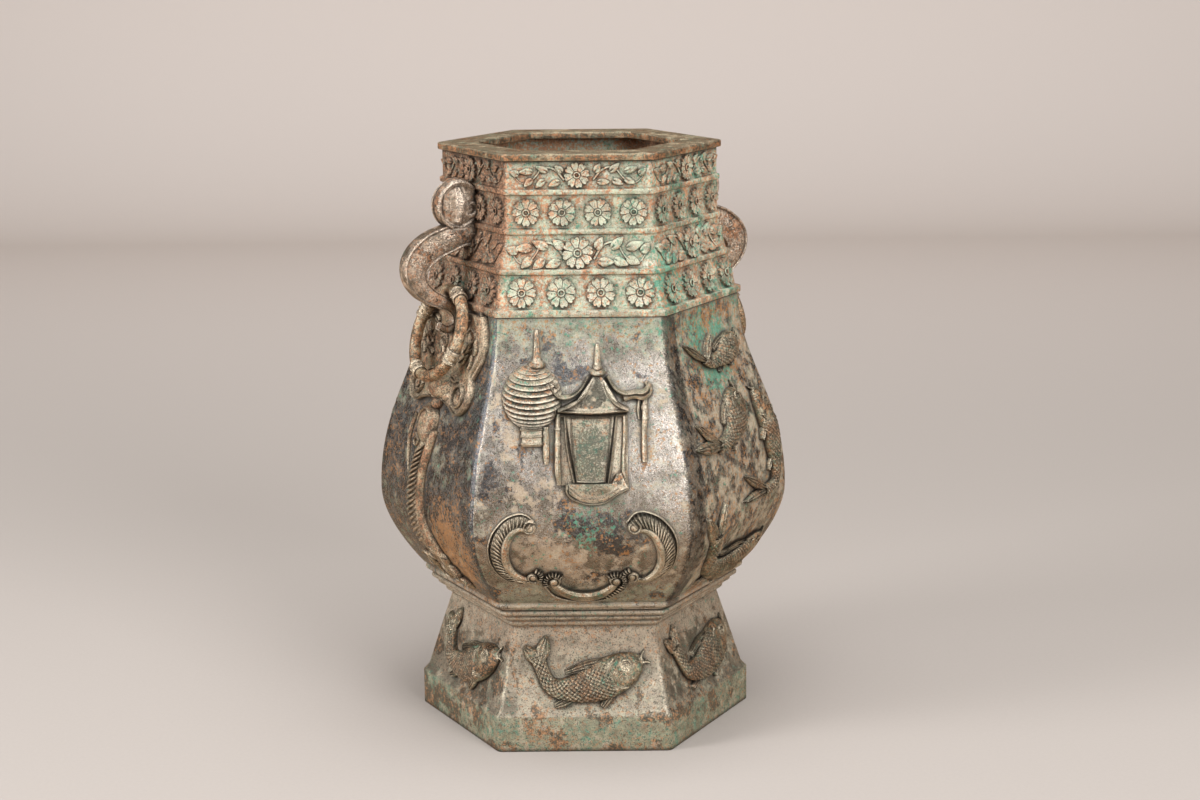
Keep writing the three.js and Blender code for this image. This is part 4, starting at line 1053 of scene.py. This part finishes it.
def between_lines(inner, outer, count, thick, relief, first=0.0, last=1.0):
    """Ribs laid side by side, each from a line to the line beside it."""
    ribs = []
    for i in range(count):
        share = first + (last - first) * (i + 0.5) / count
        a, b = along(inner, share), along(outer, share)
        turn = math.degrees(math.atan2(b[1] - a[1], b[0] - a[0]))
        half = math.dist(a, b) / 2 + 0.3
        ribs.append(bead((a[0] + b[0]) / 2, (a[1] + b[1]) / 2, half, thick, relief, turn, 8, 6))
    return ribs


def ribbon_pattern():
    border = [(4, 88), (1.5, 77), (-1.5, 66), (-2.5, 50), (-1, 40), (4, 30), (9, 20), (14, 13)]
    middle = [(-3, 86), (-5.5, 77), (-8, 66), (-9, 50), (-8, 40), (-5, 30), (0, 21), (5, 14)]
    inner = [(1, 82), (-1, 72), (-3, 62), (-4, 50), (-3, 40), (0, 31)]
    outer = [(-11, 74), (-14.5, 64), (-17, 54), (-17, 42), (-16, 32), (-14, 24)]
    parts = [roll(middle, [5.5, 7, 8, 9, 8], 0.3, 6, 3), roll(border, [3.4, 3.1, 3.2, 3.4], 1.0, 6, 3)]
    parts += between_lines(inner, outer, 18, 1.15, 3.8)
    parts += [bead(-5, 90, 10, 10.5, 4.4, 0, 24, 12), curl(-5, 90.5, 8.4, 1.6, -30, [1.9, 1.2, 0.8], 3.2),
              curl(-12, 80, 3.6, 1.2, 90, [1.2, 0.7], 2.6, -1)]
    parts.append(roll([(-20, 92), (-22, 83), (-20.5, 73), (-18.5, 62)], [1.2, 1.6, 1.1, 0.6], 1.2, 5, 2))
    clouds = ((-12.5, 16, 6, 150, -1), (1, 13, 6.5, 120, 1), (13.5, 14, 6.5, 60, -1), (21, 10.5, 4, 0, 1),
              (-2, 23, 5, 200, 1), (8, 21, 5, 20, -1))
    for x, y, radius, start, hand in clouds:
        parts.append(bead(x, y, radius, radius * 0.85, 2.6, 0, 16, 8))
        parts.append(curl(x, y, radius * 0.82, 1.5, start, [1.3, 0.8], 2.9, hand))
    return together("ribbon_shape", parts)


hanging = ribbon_pattern()
for name, facing in HANDLE_SIDES:
    ribbon = lay_on_wall(twin(hanging, "feathered_ribbon_" + name), facing, body_radius, BODY_BASE, face_bow)
    smooth(ribbon, 50)
    hand_over(ribbon, "ribbon_" + name, earthy_metal)
bpy.data.objects.remove(hanging)

# Globe lanterns: a ribbed paper globe cast in half relief, with a cap, a spike, a collar
# and a tassel. One hangs on the front face and one on the back.
ON_PANE = ("blot", (5, -88, 158), (11, 30, 19))
relief_metal = patina(
    "relief_bronze", relief=0.35, bronze="867b68", shine="ddd1bc", stain="35352e", dust="c2b097",
    earth="c08a60", verdigris="6aa68c", film="9ca48c", rub=0.9, stain_cover=0.36, dust_cover=0.26,
    film_cover=0.34, earth_specks=0.36, verdigris_specks=0.2, pits=0.36, gloss=0.3,
    masks=[("Stain Cover", -0.3, "blot", (5, -90, 158), (10, 30, 16)),
           ("Dust Cover", -0.1, *ON_PANE), ("Film Cover", 0.3, *ON_PANE),
           ("Pits", 0.3, *ON_PANE), ("Verdigris Specks", 0.16, *ON_PANE),
           ("Earth Specks", -0.25, "blot", (5, -88, 158), (9, 30, 17)),
           ("Stain Cover", 0.6, "blot", (4, -88, 187), (14, 30, 8)),
           ("Earth Specks", -0.4, "blot", (4, -88, 187), (14, 30, 9)),
           ("Stain Cover", 0.42, "blot", (-24, -88, 184), (16, 30, 16))])
FRONT_AND_BACK = (("front", 270), ("back", 90))
GLOBE_RIBS = 17
RIB_STEPS = (0.88, 0.92, 1.0, 1.05, 1.09, 1.0)
GLOBE_TILT = 15
GLOBE_RINGS = len(RIB_STEPS) * GLOBE_RIBS


def globe_pattern():
    deselect()
    bpy.ops.mesh.primitive_uv_sphere_add(
        segments=32, ring_count=GLOBE_RINGS, radius=MM, rotation=(math.pi / 2, 0, 0))
    globe = bpy.context.object
    bpy.ops.object.transform_apply()
    for vertex in globe.data.vertices:
        ring = round(math.acos(max(-1, min(1, vertex.co.y / MM))) / math.pi * GLOBE_RINGS)
        step = RIB_STEPS[ring % len(RIB_STEPS)]
        vertex.co.x *= 1 + (step - 1) * 0.4
        vertex.co.z *= step
    globe.rotation_euler.x = math.radians(GLOBE_TILT)
    bpy.ops.object.transform_apply()
    globe.scale = (14.2, 15, 6.4)
    globe.location = (-23.6 * MM, 111.6 * MM, 0)
    bpy.ops.object.transform_apply()
    parts = [
        globe, bead(-21.2, 126.4, 4.4, 2.6, 4.4, 0, 16, 8),
        roll([(-21, 127), (-21.1, 133), (-21.2, 138), (-21.2, 143)], [2.4, 1.7, 1.4, 0.9], 1.3, 4, 2),
        slab([(-29, 99), (-28.4, 89), (-19, 89), (-18.6, 99)], 2.4, 0.6)]
    parts += [roll([(-29.4 + k * 0.2, y), (-24, y - 0.3), (-18.6, y)], [1.05], 3, 4, 2)
              for k, y in enumerate((97, 93.8, 90.4))]
    parts.append(roll([(-17.2, 98), (-17, 91), (-16.8, 84), (-16.8, 80.5)], [1.7, 1.9, 1.8, 1.2], 1.5, 4, 2))
    return together("globe_shape", parts)


# Palace lanterns: a glazed lantern under a hipped roof with upturned eaves, set half over
# the globe lantern beside it. Posts and tassels hang at its sides above a curved tray.
def palace_pattern():
    back_board = [(-12.6, 104), (-12, 70.4), (22.4, 70.4), (22.6, 104)]
    panel = [(-7.6, 103), (-2.6, 71.5), (11.6, 71.5), (16.4, 103)]
    roof = [(-10, 104.6), (22.6, 104.6), (17.4, 109.8), (12.6, 118), (10.4, 121), (6, 121), (3.4, 117.4),
            (-1.6, 110.6)]
    tray = [(-6.6, 71.6), (-6.4, 66.8), (-0.4, 63), (5.4, 61.9), (11.4, 63), (17.6, 67), (22.8, 69.4),
            (19.4, 76.6), (17, 76), (14.6, 71.6)]
    parts = [slab(back_board, 1.0, 0.4), slab(panel, 2.2, 0.5), slab(roof, 3.2, 0.7), slab(tray, 3.4, 0.8)]
    for line, width in (
            ([(-7.8, 103), (-6.6, 88), (-3.4, 72)], 0.8), ([(-5, 102.6), (-4.2, 88), (-2.2, 72.4)], 0.65),
            ([(17.2, 103), (15.4, 88), (13, 71.6)], 0.8), ([(14.6, 102.6), (13.2, 88), (11.2, 72)], 0.65),
            ([(-5, 102.4), (5, 102.2), (14.8, 102.4)], 0.7), ([(-2.4, 72.6), (5, 72.2), (11.6, 72.6)], 0.8),
            ([(-11, 105.6), (5, 104.6), (22.8, 105.6)], 1.2),
            ([(-10.6, 103.2), (5, 102.6), (22, 103.2)], 0.8)):
        parts.append(roll(line, [width], 3.8 if width > 0.7 else 4.6, 4, 2))
    hips = ([(6, 119.4), (2, 112.4), (-4.6, 107.8), (-11, 105.2)],
            [(3.8, 121), (0, 115), (-5.4, 111.6), (-11, 112), (-14, 115.6), (-15.6, 119.4)],
            [(10.6, 119.4), (13.6, 112.2), (18.2, 107.6), (23, 105.4)],
            [(12.8, 121), (16.6, 115.4), (21.4, 113), (26.4, 113.4), (31, 113.8), (33.6, 117.6)])
    for hip in hips:
        parts.append(roll(hip, [0.8, 0.9, 1.1, 1.3, 1.1], 4.2, 5, 2))
    eave = [(21, 110.6), (26, 112.2), (30.6, 111.6), (33.6, 114.6), (31.4, 118.2)]
    parts += [roll(eave, [1.6, 2, 2, 1.5, 0.9], 2, 5, 2),
              curl(-13.4, 110.4, 3.4, 1.2, 100, [1.1, 0.7], 4, 1),
              curl(-15, 105, 3, 1.2, 60, [1, 0.7], 4, -1), curl(-14.6, 116, 2.8, 1.1, 0, [1, 0.7], 4, 1)]
    parts += [bead(8.3, 122.6, 4, 2.2, 4.6, 0, 16, 8), bead(8.3, 125, 2.4, 1.8, 4.2, 0, 14, 8),
              roll([(8.3, 124.6), (8.3, 129), (8.2, 133), (8.2, 136)], [2, 1.7, 1.3, 0.8], 1.5, 4, 2)]
    for line, widths, lift in (
            ([(-11, 104), (-11.2, 96), (-11.4, 86), (-11.2, 76), (-10.4, 71)],
             [1.5, 1.3, 1.6, 1.7, 0.9], 2.2),
            ([(21.2, 103), (21.2, 93), (20.6, 84), (20.8, 76), (22, 70)], [1.2, 1.3, 1.2, 1.5, 1.1], 2.4),
            ([(31, 110.6), (31, 104), (30.6, 96), (30.4, 88), (30.6, 81.4)], [1.3, 1.7, 1.4, 1.4, 1.3], 1.9),
            ([(28.6, 111), (27.8, 105), (28.2, 101)], [0.8, 0.9, 0.6], 1.9)):
        parts.append(roll(line, widths, lift, 4, 2))
    parts += [bead(-11.2, y, 1.9, 1.1, 3.8, 0, 10, 6) for y in (97, 90)]
    parts += [bead(30.8, 106.4, 2, 2.4, 3.4, 0, 10, 6), bead(31, 101.5, 1.9, 1.4, 3.4, 0, 10, 6)]
    tray_line = [(-5.4, 69.6), (-0.6, 65.8), (5.4, 64.6), (11.6, 65.8), (18, 69.6)]
    tray_rim = [
        (-6.6, 71.2), (-6.6, 66.8), (-0.4, 62.8), (5.4, 61.8), (11.4, 62.8), (17.6, 66.8), (22.8, 69.2)]
    parts += [roll(tray_line, [0.8], 4.8, 4, 2), roll(tray_rim, [0.9], 4.2, 4, 2)]
    return together("palace_shape", parts)


for shape, title, node in ((globe_pattern(), "globe_lantern_cast_", "globe_lantern_"),
                           (palace_pattern(), "palace_lantern_cast_", "palace_lantern_")):
    for name, facing in FRONT_AND_BACK:
        lantern = lay_on_wall(twin(shape, title + name), facing, body_radius, BODY_BASE, face_bow)
        smooth(lantern, 28)
        hand_over(lantern, node + name, relief_metal)
    bpy.data.objects.remove(shape)

# Cartouche: two C-scrolls and a lower scroll frame the foot of the front and back faces.
# Each is a smooth roll with a comb of short ribs round its outside.
scroll_metal = patina(
    "scroll_bronze", relief=0.35, bronze="8e836e", shine="ddd1bb", stain="3b3a34", dust="b8a48a",
    earth="b8845c", verdigris="5fa288", film="929a82", rub=0.95, stain_cover=0.2, dust_cover=0.36,
    film_cover=0.3, earth_specks=0.32, verdigris_specks=0.2, pits=0.34, gloss=0.3, matt=0.15)
WEST_INNER = [
    (-25.4, 47.6), (-28.6, 49.4), (-32.8, 48.4), (-36.4, 44), (-38, 37), (-37, 29.8), (-33.4, 24),
    (-27, 20.8), (-21.6, 20.6)]
WEST_OUTER = [
    (-22.6, 51.6), (-27.6, 56.2), (-34.4, 55.6), (-41, 50.4), (-45, 43), (-45.6, 35), (-43.2, 27.4),
    (-37.4, 20.8), (-29, 18)]
EAST_INNER = [
    (26.6, 48), (30, 48.4), (34.4, 46.2), (37.6, 41), (39, 34.6), (37.8, 27.4), (34, 22.2), (29, 20),
    (24.6, 21.6)]
EAST_OUTER = [
    (21.6, 52), (26.6, 57), (34, 56.2), (41, 51.4), (45.4, 44), (46, 36), (44.2, 29), (40, 23.4), (33.6, 19)]


def scroll_pattern(inner, outer, side):
    middle = [((a[0] + b[0]) / 2, (a[1] + b[1]) / 2) for a, b in zip(inner, outer)]
    parts = [roll(middle, [2.6, 3.4, 3.6, 3.2, 1.8], 0.66, 5, 2),
             roll(inner, [1.5, 2.4, 2.6, 2.4, 1.5], 1.35, 6, 3), roll(outer, [0.5, 0.6, 0.6, 0.5], 2.6, 5, 2)]
    parts += between_lines(inner, outer, 26, 0.82, 3.2, 0.02, 0.98)
    parts += [bead(side * 25.4, 49.6, 3.3, 3.3, 2.6, 0, 14, 8),
              curl(side * 25.2, 49.8, 3.6, 1.4, 60, [1.1, 0.7], 2.9, -side),
              bead(side * 24.4, 22.4, 2.6, 2.6, 3.2, 0, 14, 8),
              curl(side * 24.2, 22.4, 2.8, 1.4, -60, [0.9, 0.6], 3.8, side)]
    parts += fan(side * 24, 22.6, 2.4, 5.2, 100 if side > 0 else -40, 120, 6)
    return together("scroll_shape", parts)


def fan(x, y, near, far, start, sweep, count):
    """Short ribs spread like a fan round a place, from the near to the far radius."""
    reach = (near + far) / 2
    half = (far - near) / 2 + 0.3
    ribs = []
    for i in range(count):
        angle = math.radians(start + sweep * (i + 0.5) / count)
        ribs.append(bead(x + reach * math.cos(angle), y + reach * math.sin(angle), half, 0.6, 3.6,
                         math.degrees(angle), 8, 6))
    return ribs


def lower_pattern():
    smile = [(-14.6, 18.4), (-11.4, 14.6), (-6.4, 11.2), (1, 9.6), (8.4, 11.2), (13.6, 14.8), (16.8, 18.2)]
    under = [(-19, 17), (-14.4, 10.2), (-6, 6.9), (3.6, 6.2), (12, 8.2), (20, 13.8)]
    parts = [roll(smile, [1.8, 2.9, 3.3, 2.9, 1.8], 1.3, 6, 3), roll(under, [0.6], 2.6, 5, 2)]
    comb_inner = [(10, 10), (15, 14), (18, 17.6)]
    comb_outer = [(12.4, 7.6), (18.4, 11.8), (21.6, 16)]
    parts += between_lines(comb_inner, comb_outer, 7, 0.8, 3.2)
    for side in (-1, 1):
        middle = -14 if side < 0 else 16.4
        parts += [bead(middle, 19.6, 2.8, 2.8, 3.8, 0, 14, 8),
                  curl(middle, 19.8, 3, 1.4, 90, [0.9, 0.6], 4, side)]
        parts += fan(middle, 19.4, 2.6, 6, 35 if side < 0 else -35, 180, 10)
    return together("lower_shape", parts)


for shape, node in ((scroll_pattern(WEST_INNER, WEST_OUTER, -1), "scroll_west_"),
                    (scroll_pattern(EAST_INNER, EAST_OUTER, 1), "scroll_east_"),
                    (lower_pattern(), "scroll_lower_")):
    for name, facing in FRONT_AND_BACK:
        scroll = lay_on_wall(twin(shape, "combed_" + node + name), facing, body_radius, BODY_BASE, face_bow)
        smooth(scroll, 40)
        hand_over(scroll, node + name, scroll_metal)
    bpy.data.objects.remove(shape)

# Fish of the body: four carp, each cast apart with scales, fins and a forked tail, swim on
# the right-hand front face, and four more on the face across from it.
fish_metal = patina(
    "fish_bronze", relief=0.4, bronze="7e725e", shine="d2c6ae", stain="36302a", dust="ac9a7e",
    earth="b8885f", verdigris="60a388", film="8f977e", rub=1.0, stain_cover=0.42, dust_cover=0.3,
    film_cover=0.34, earth_specks=0.4, verdigris_specks=0.24, pits=0.44, grime_cover=1.7, gloss=0.26,
    matt=0.0)
FISH_SIDES = (("right", RIGHT_FISH_SIDE), ("left", RIGHT_FISH_SIDE - 180))
SCALE_PITCH = 2.5
SCALES_START = 0.27
FISH_RELIEF = 5
FISH_GIRTH = [
    (0, 0.16), (0.06, 0.56), (0.15, 0.86), (0.28, 1), (0.45, 0.88), (0.68, 0.5), (0.85, 0.34), (1, 0.4)]


def spline(knots, steps=9):
    """Points on a smooth line that goes through the knots."""
    line = []
    for i in range(len(knots) - 1):
        around = (min(max(k, 0), len(knots) - 1) for k in (i - 1, i, i + 1, i + 2))
        before, a, b, after = (Vector(knots[k]) for k in around)
        line += interpolate_bezier(a, a + (b - before) / 6, b - (after - a) / 6, b, steps)[:-1]
    return line + [Vector(knots[-1])]


girth_line = [(width, share) for share, width in spline(FISH_GIRTH)]


def girth(share):
    """The half width of a fish, as a share of its greatest, on its way from nose to tail."""
    return width_at(girth_line, share)


def scale_height(a, b):
    """The height of rounded scales set in rows, each row moved half a scale along."""
    nearest = 1.0
    for row in range(math.floor(2 * a), math.floor(2 * a) + 2):
        shift = 0.5 if row % 2 else 0.0
        nearest = min(nearest, math.hypot(a - row / 2, b - shift - round(b - shift)))
    return 1 - (nearest / 0.56) ** 2


def carp(knots, tips, depth, side):
    line = [tuple(point) for point in spline(knots)]
    length = sum(math.dist(a, b) for a, b in zip(line, line[1:]))

    def spot(share):
        return Vector(along(line, min(1, max(0, share))))

    def heading(share):
        return (spot(share + 0.02) - spot(share - 0.02)).normalized()

    def beside(share, off):
        ahead = heading(share)
        return spot(share) + Vector((ahead.y, -ahead.x)) * depth / 2 * girth(share) * off * side

    def flesh(share, off):
        at = beside(share, off)
        height = FISH_RELIEF * (0.25 + 0.75 * girth(share)) * math.sqrt(max(0, 1 - off * off)) ** 0.7
        if share > SCALES_START:
            height += 1.6 * scale_height((share - SCALES_START) * length / SCALE_PITCH,
                                          off * depth / 2 * girth(share) / SCALE_PITCH * 1.1)
        elif share > 0.04:
            height += 0.7
        return at.x, at.y, height

    def fin(root, tip, width, rays, lift, blunt=0.4):
        root, tip = Vector(root), Vector(tip)
        way = tip - root
        over = Vector((-way.y, way.x)).normalized()

        def blade(share, off):
            point = max(0, share - 0.4) / 0.6
            spread = width * (0.4 + 0.6 * min(1, share * 2)) * (1 - (1 - blunt) * point ** 1.4)
            at = root + way * share + over * spread * off * 0.5
            ridge = 0.3 * math.cos(off * math.pi * rays)
            return at.x, at.y, lift * (1 - 0.35 * share) * (1 - 0.3 * off * off) + ridge

        return cushion(12, 8 * rays, blade)

    parts = [cushion(max(30, int(length * 2)), int(depth * 2.4), flesh)]
    for tip in tips:
        parts.append(fin(beside(0.94, 0), tip, depth * 0.4, 3, 3, 0.12))
    parts.append(fin(beside(0.22, 0.75), beside(0.66, 1.45), depth * 0.34, 4, 2.6))
    parts.append(fin(beside(0.3, -0.6), beside(0.42, -1.45), depth * 0.28, 3, 3.4))
    parts.append(fin(beside(0.58, -0.7), beside(0.7, -2), depth * 0.26, 3, 2.4))
    eye = beside(0.13, 0.32)
    size = depth * 0.085
    top = FISH_RELIEF * (0.25 + 0.75 * girth(0.13)) + 0.4
    parts += [bead(eye.x, eye.y, size * 0.9, size * 0.9, top + 1, 0, 10, 6),
              roll(circle_points(eye.x, eye.y, size * 1.5, 8), [size * 0.42], 1, 2, 2, z=top - 0.3)]
    gill = ((0.2, 0.88), (0.28, 0.5), (0.31, 0), (0.28, -0.5), (0.19, -0.88))
    gill_line = [tuple(beside(share, off)) for share, off in gill]
    parts.append(roll(gill_line, [0.6, 0.9, 0.6], 1, 4, 2, z=FISH_RELIEF * 0.84))
    for off, lean in ((0.5, 2.6), (-0.6, -2.4)):
        start = beside(0.02, off * 0.6)
        tip = start - heading(0) * 3.4 + Vector((heading(0).y, -heading(0).x)) * lean * side
        bend = (start + tip) / 2 + Vector((0, 0.4))
        parts.append(roll([tuple(start), tuple(bend), tuple(tip)], [0.8, 0.6, 0.4], 3, 3, 1))
    return together("carp_shape", parts)


BODY_FISH = {
    "fish_top_": (
        [(27.4, 128), (14.9, 124.6), (3.5, 120.9), (-6.1, 119.9), (-11, 123)], ((-27, 132), (2, 134)), 13, 1),
    "fish_middle_": (
        [(10, 105), (3.8, 96.4), (-3.5, 88.2), (-12.2, 82.8), (-22, 82)], ((-37, 95.5), (-42, 84)), 18, 1),
    "fish_upright_": (
        [(28, 102), (33.2, 87.3), (34.9, 68.2), (33.3, 53), (20, 50)], ((0, 62), (-2, 49)), 15, -1),
    "fish_low_": (
        [(34, 23.2), (15.8, 16.2), (-5.3, 15), (-23.7, 21.2), (-30, 38.6)], ((-40, 50), (-22, 55)), 20, 1)}
for node, facts in BODY_FISH.items():
    shape = carp(*facts)
    for name, facing in FISH_SIDES:
        fish = lay_on_wall(twin(shape, "carp_" + node + name), facing, body_radius, BODY_BASE, face_bow)
        smooth(fish, 50)
        hand_over(fish, node + name, fish_metal)
    bpy.data.objects.remove(shape)

# Fish of the foot: one larger carp on each of the foot's six faces, all cast from one mould
# and soldered on. They have the metal of the fish above.
FOOT_FLANK = [
    (FOOT_RADIUS, 0), (FOOT_RADIUS, FOOT_BAND), (SPLAY_RADIUS, FOOT_BAND + FOOT_CHAMFER),
    (THROAT_RADIUS, FOOT_THROAT)]
FOOT_SIDES = FRONT_AND_BACK + (
    ("front_right", 330), ("back_left", 150), ("front_left", 210), ("back_right", 30))


def foot_radius(level):
    return width_at(FOOT_FLANK, level)


foot_carp = carp(
    [(30, 46), (13.5, 37.8), (-3.4, 32.4), (-16.6, 33.6), (-23.6, 48)], ((-30.4, 52.7), (-18.6, 57.8)), 19, 1)
for name, facing in FOOT_SIDES:
    fish = lay_on_wall(twin(foot_carp, "carp_foot_" + name), facing, foot_radius)
    smooth(fish, 50)
    hand_over(fish, "foot_fish_" + name, fish_metal)
bpy.data.objects.remove(foot_carp)

# Ground and backdrop: one plain pale sheet, laid flat under the vase and swept up behind it.
# It is stage only. Its pale tone is for the camera, and the bronze mirrors a warmer one.
SHEET_WIDTH = 6
SHEET_FRONT = 2.4
SHEET_RISE = 2
SWEEP_START = 1.7
SWEEP_RADIUS = 0.5
FADE_START = 0.3
sheet_paint = bpy.data.materials.new("pale_sheet")
sheet_paint.use_nodes = True
tree = sheet_paint.node_tree
paper = tree.nodes["Principled BSDF"]
paper.inputs["Roughness"].default_value = 0.9
fibres = grain(tree, add_node(tree, "TexCoord").outputs["Object"], 2, 3)
depth = add_node(tree, "SeparateXYZ", {0: add_node(tree, "TexCoord").outputs["Object"]}).outputs["Y"]
pale = blend(tree, fibres, tone("b4aca6"), tone("aea6a0"))
# The sheet is painted lighter from the floor near the vase to the back and up the sweep: painted light.
pale = blend(tree, ramp(tree, depth, FADE_START, SWEEP_START), pale, tone("ece2dc"))
seen = add_node(tree, "LightPath").outputs["Is Camera Ray"]
tree.links.new(blend(tree, seen, tone("a8927a"), pale), paper.inputs["Base Color"])
deselect()
bpy.ops.mesh.primitive_plane_add(size=1, location=(0, 0, 0))
sheet = bpy.context.object
sheet.name = "pale_sheet"
bpy.ops.object.mode_set(mode="EDIT")
bpy.ops.mesh.select_all(action="SELECT")
bpy.ops.transform.resize(value=(SHEET_WIDTH, SHEET_FRONT + SWEEP_START, 1), center_override=(0, 0, 0))
bpy.ops.transform.translate(value=(0, (SWEEP_START - SHEET_FRONT) / 2, 0))
bpy.ops.mesh.select_mode(type="EDGE")
pick(lambda edge: all(v.co.y > SWEEP_START - 0.001 for v in edge.verts), "edges")
bpy.ops.mesh.spin(steps=16, angle=-math.pi / 2, center=(0, SWEEP_START, SWEEP_RADIUS), axis=(1, 0, 0))
bpy.ops.mesh.extrude_edges_move(TRANSFORM_OT_translate={"value": (0, 0, SHEET_RISE)})
bpy.ops.mesh.select_mode(type="VERT")
bpy.ops.mesh.select_all(action="SELECT")
bpy.ops.mesh.normals_make_consistent(inside=True)
bpy.ops.object.mode_set(mode="OBJECT")
smooth(sheet, 40)
sheet.data.materials.append(sheet_paint)

# Lights: broad white soft boxes in front at the right, at the left and above, and an even
# grey room round them.
ROOM_STRENGTH = 0.58


def soft_box(name, place, target, size, power):
    deselect()
    bpy.ops.object.light_add(type="AREA", location=place)
    lamp = bpy.context.object
    lamp.name = name
    lamp.data.shape = "RECTANGLE"
    lamp.data.size, lamp.data.size_y = size
    lamp.data.energy = power
    lamp.rotation_euler = (Vector(target) - Vector(place)).to_track_quat("-Z", "Y").to_euler()


soft_box("right_window", (0.95, -1.45, 0.75), (0, 0, 0.16), (0.75, 1.3), 26)
soft_box("left_window", (-1.45, -0.6, 0.62), (0, 0, 0.16), (0.5, 1.2), 23)
soft_box("top_light", (0.1, -0.3, 1.7), (0, 0, 0.1), (1.3, 1.3), 24)
world = bpy.data.worlds.new("grey_room")
bpy.context.scene.world = world
world.use_nodes = True
world.node_tree.nodes["Background"].inputs["Color"].default_value = tone("c4c2c0")
world.node_tree.nodes["Background"].inputs["Strength"].default_value = ROOM_STRENGTH

# Camera: in front of the vase, a little higher than its mouth, and turned down towards it.
# Its place, turn and lens were fitted to the outline of the vase.
CAMERA_PLACE = (0.009455, -1.106595, 0.410)
CAMERA_RIGHT = Vector((0.999954, -0.001936, -0.009365))
CAMERA_UP = Vector((0.009562, 0.216303, 0.976279))
CAMERA_LENS = 65.15
camera_data = bpy.data.cameras.new("camera")
camera = bpy.data.objects.new("camera", camera_data)
bpy.context.scene.collection.objects.link(camera)
turn = Matrix((CAMERA_RIGHT, CAMERA_UP, CAMERA_RIGHT.cross(CAMERA_UP))).transposed().to_4x4()
camera.matrix_world = Matrix.Translation(CAMERA_PLACE) @ turn
camera_data.lens = CAMERA_LENS
camera_data.sensor_width = 36
camera_data.sensor_fit = "HORIZONTAL"
camera_data.clip_start = 0.01
camera_data.clip_end = 50
bpy.context.scene.camera = camera
bpy.context.scene.view_settings.view_transform = "Standard"
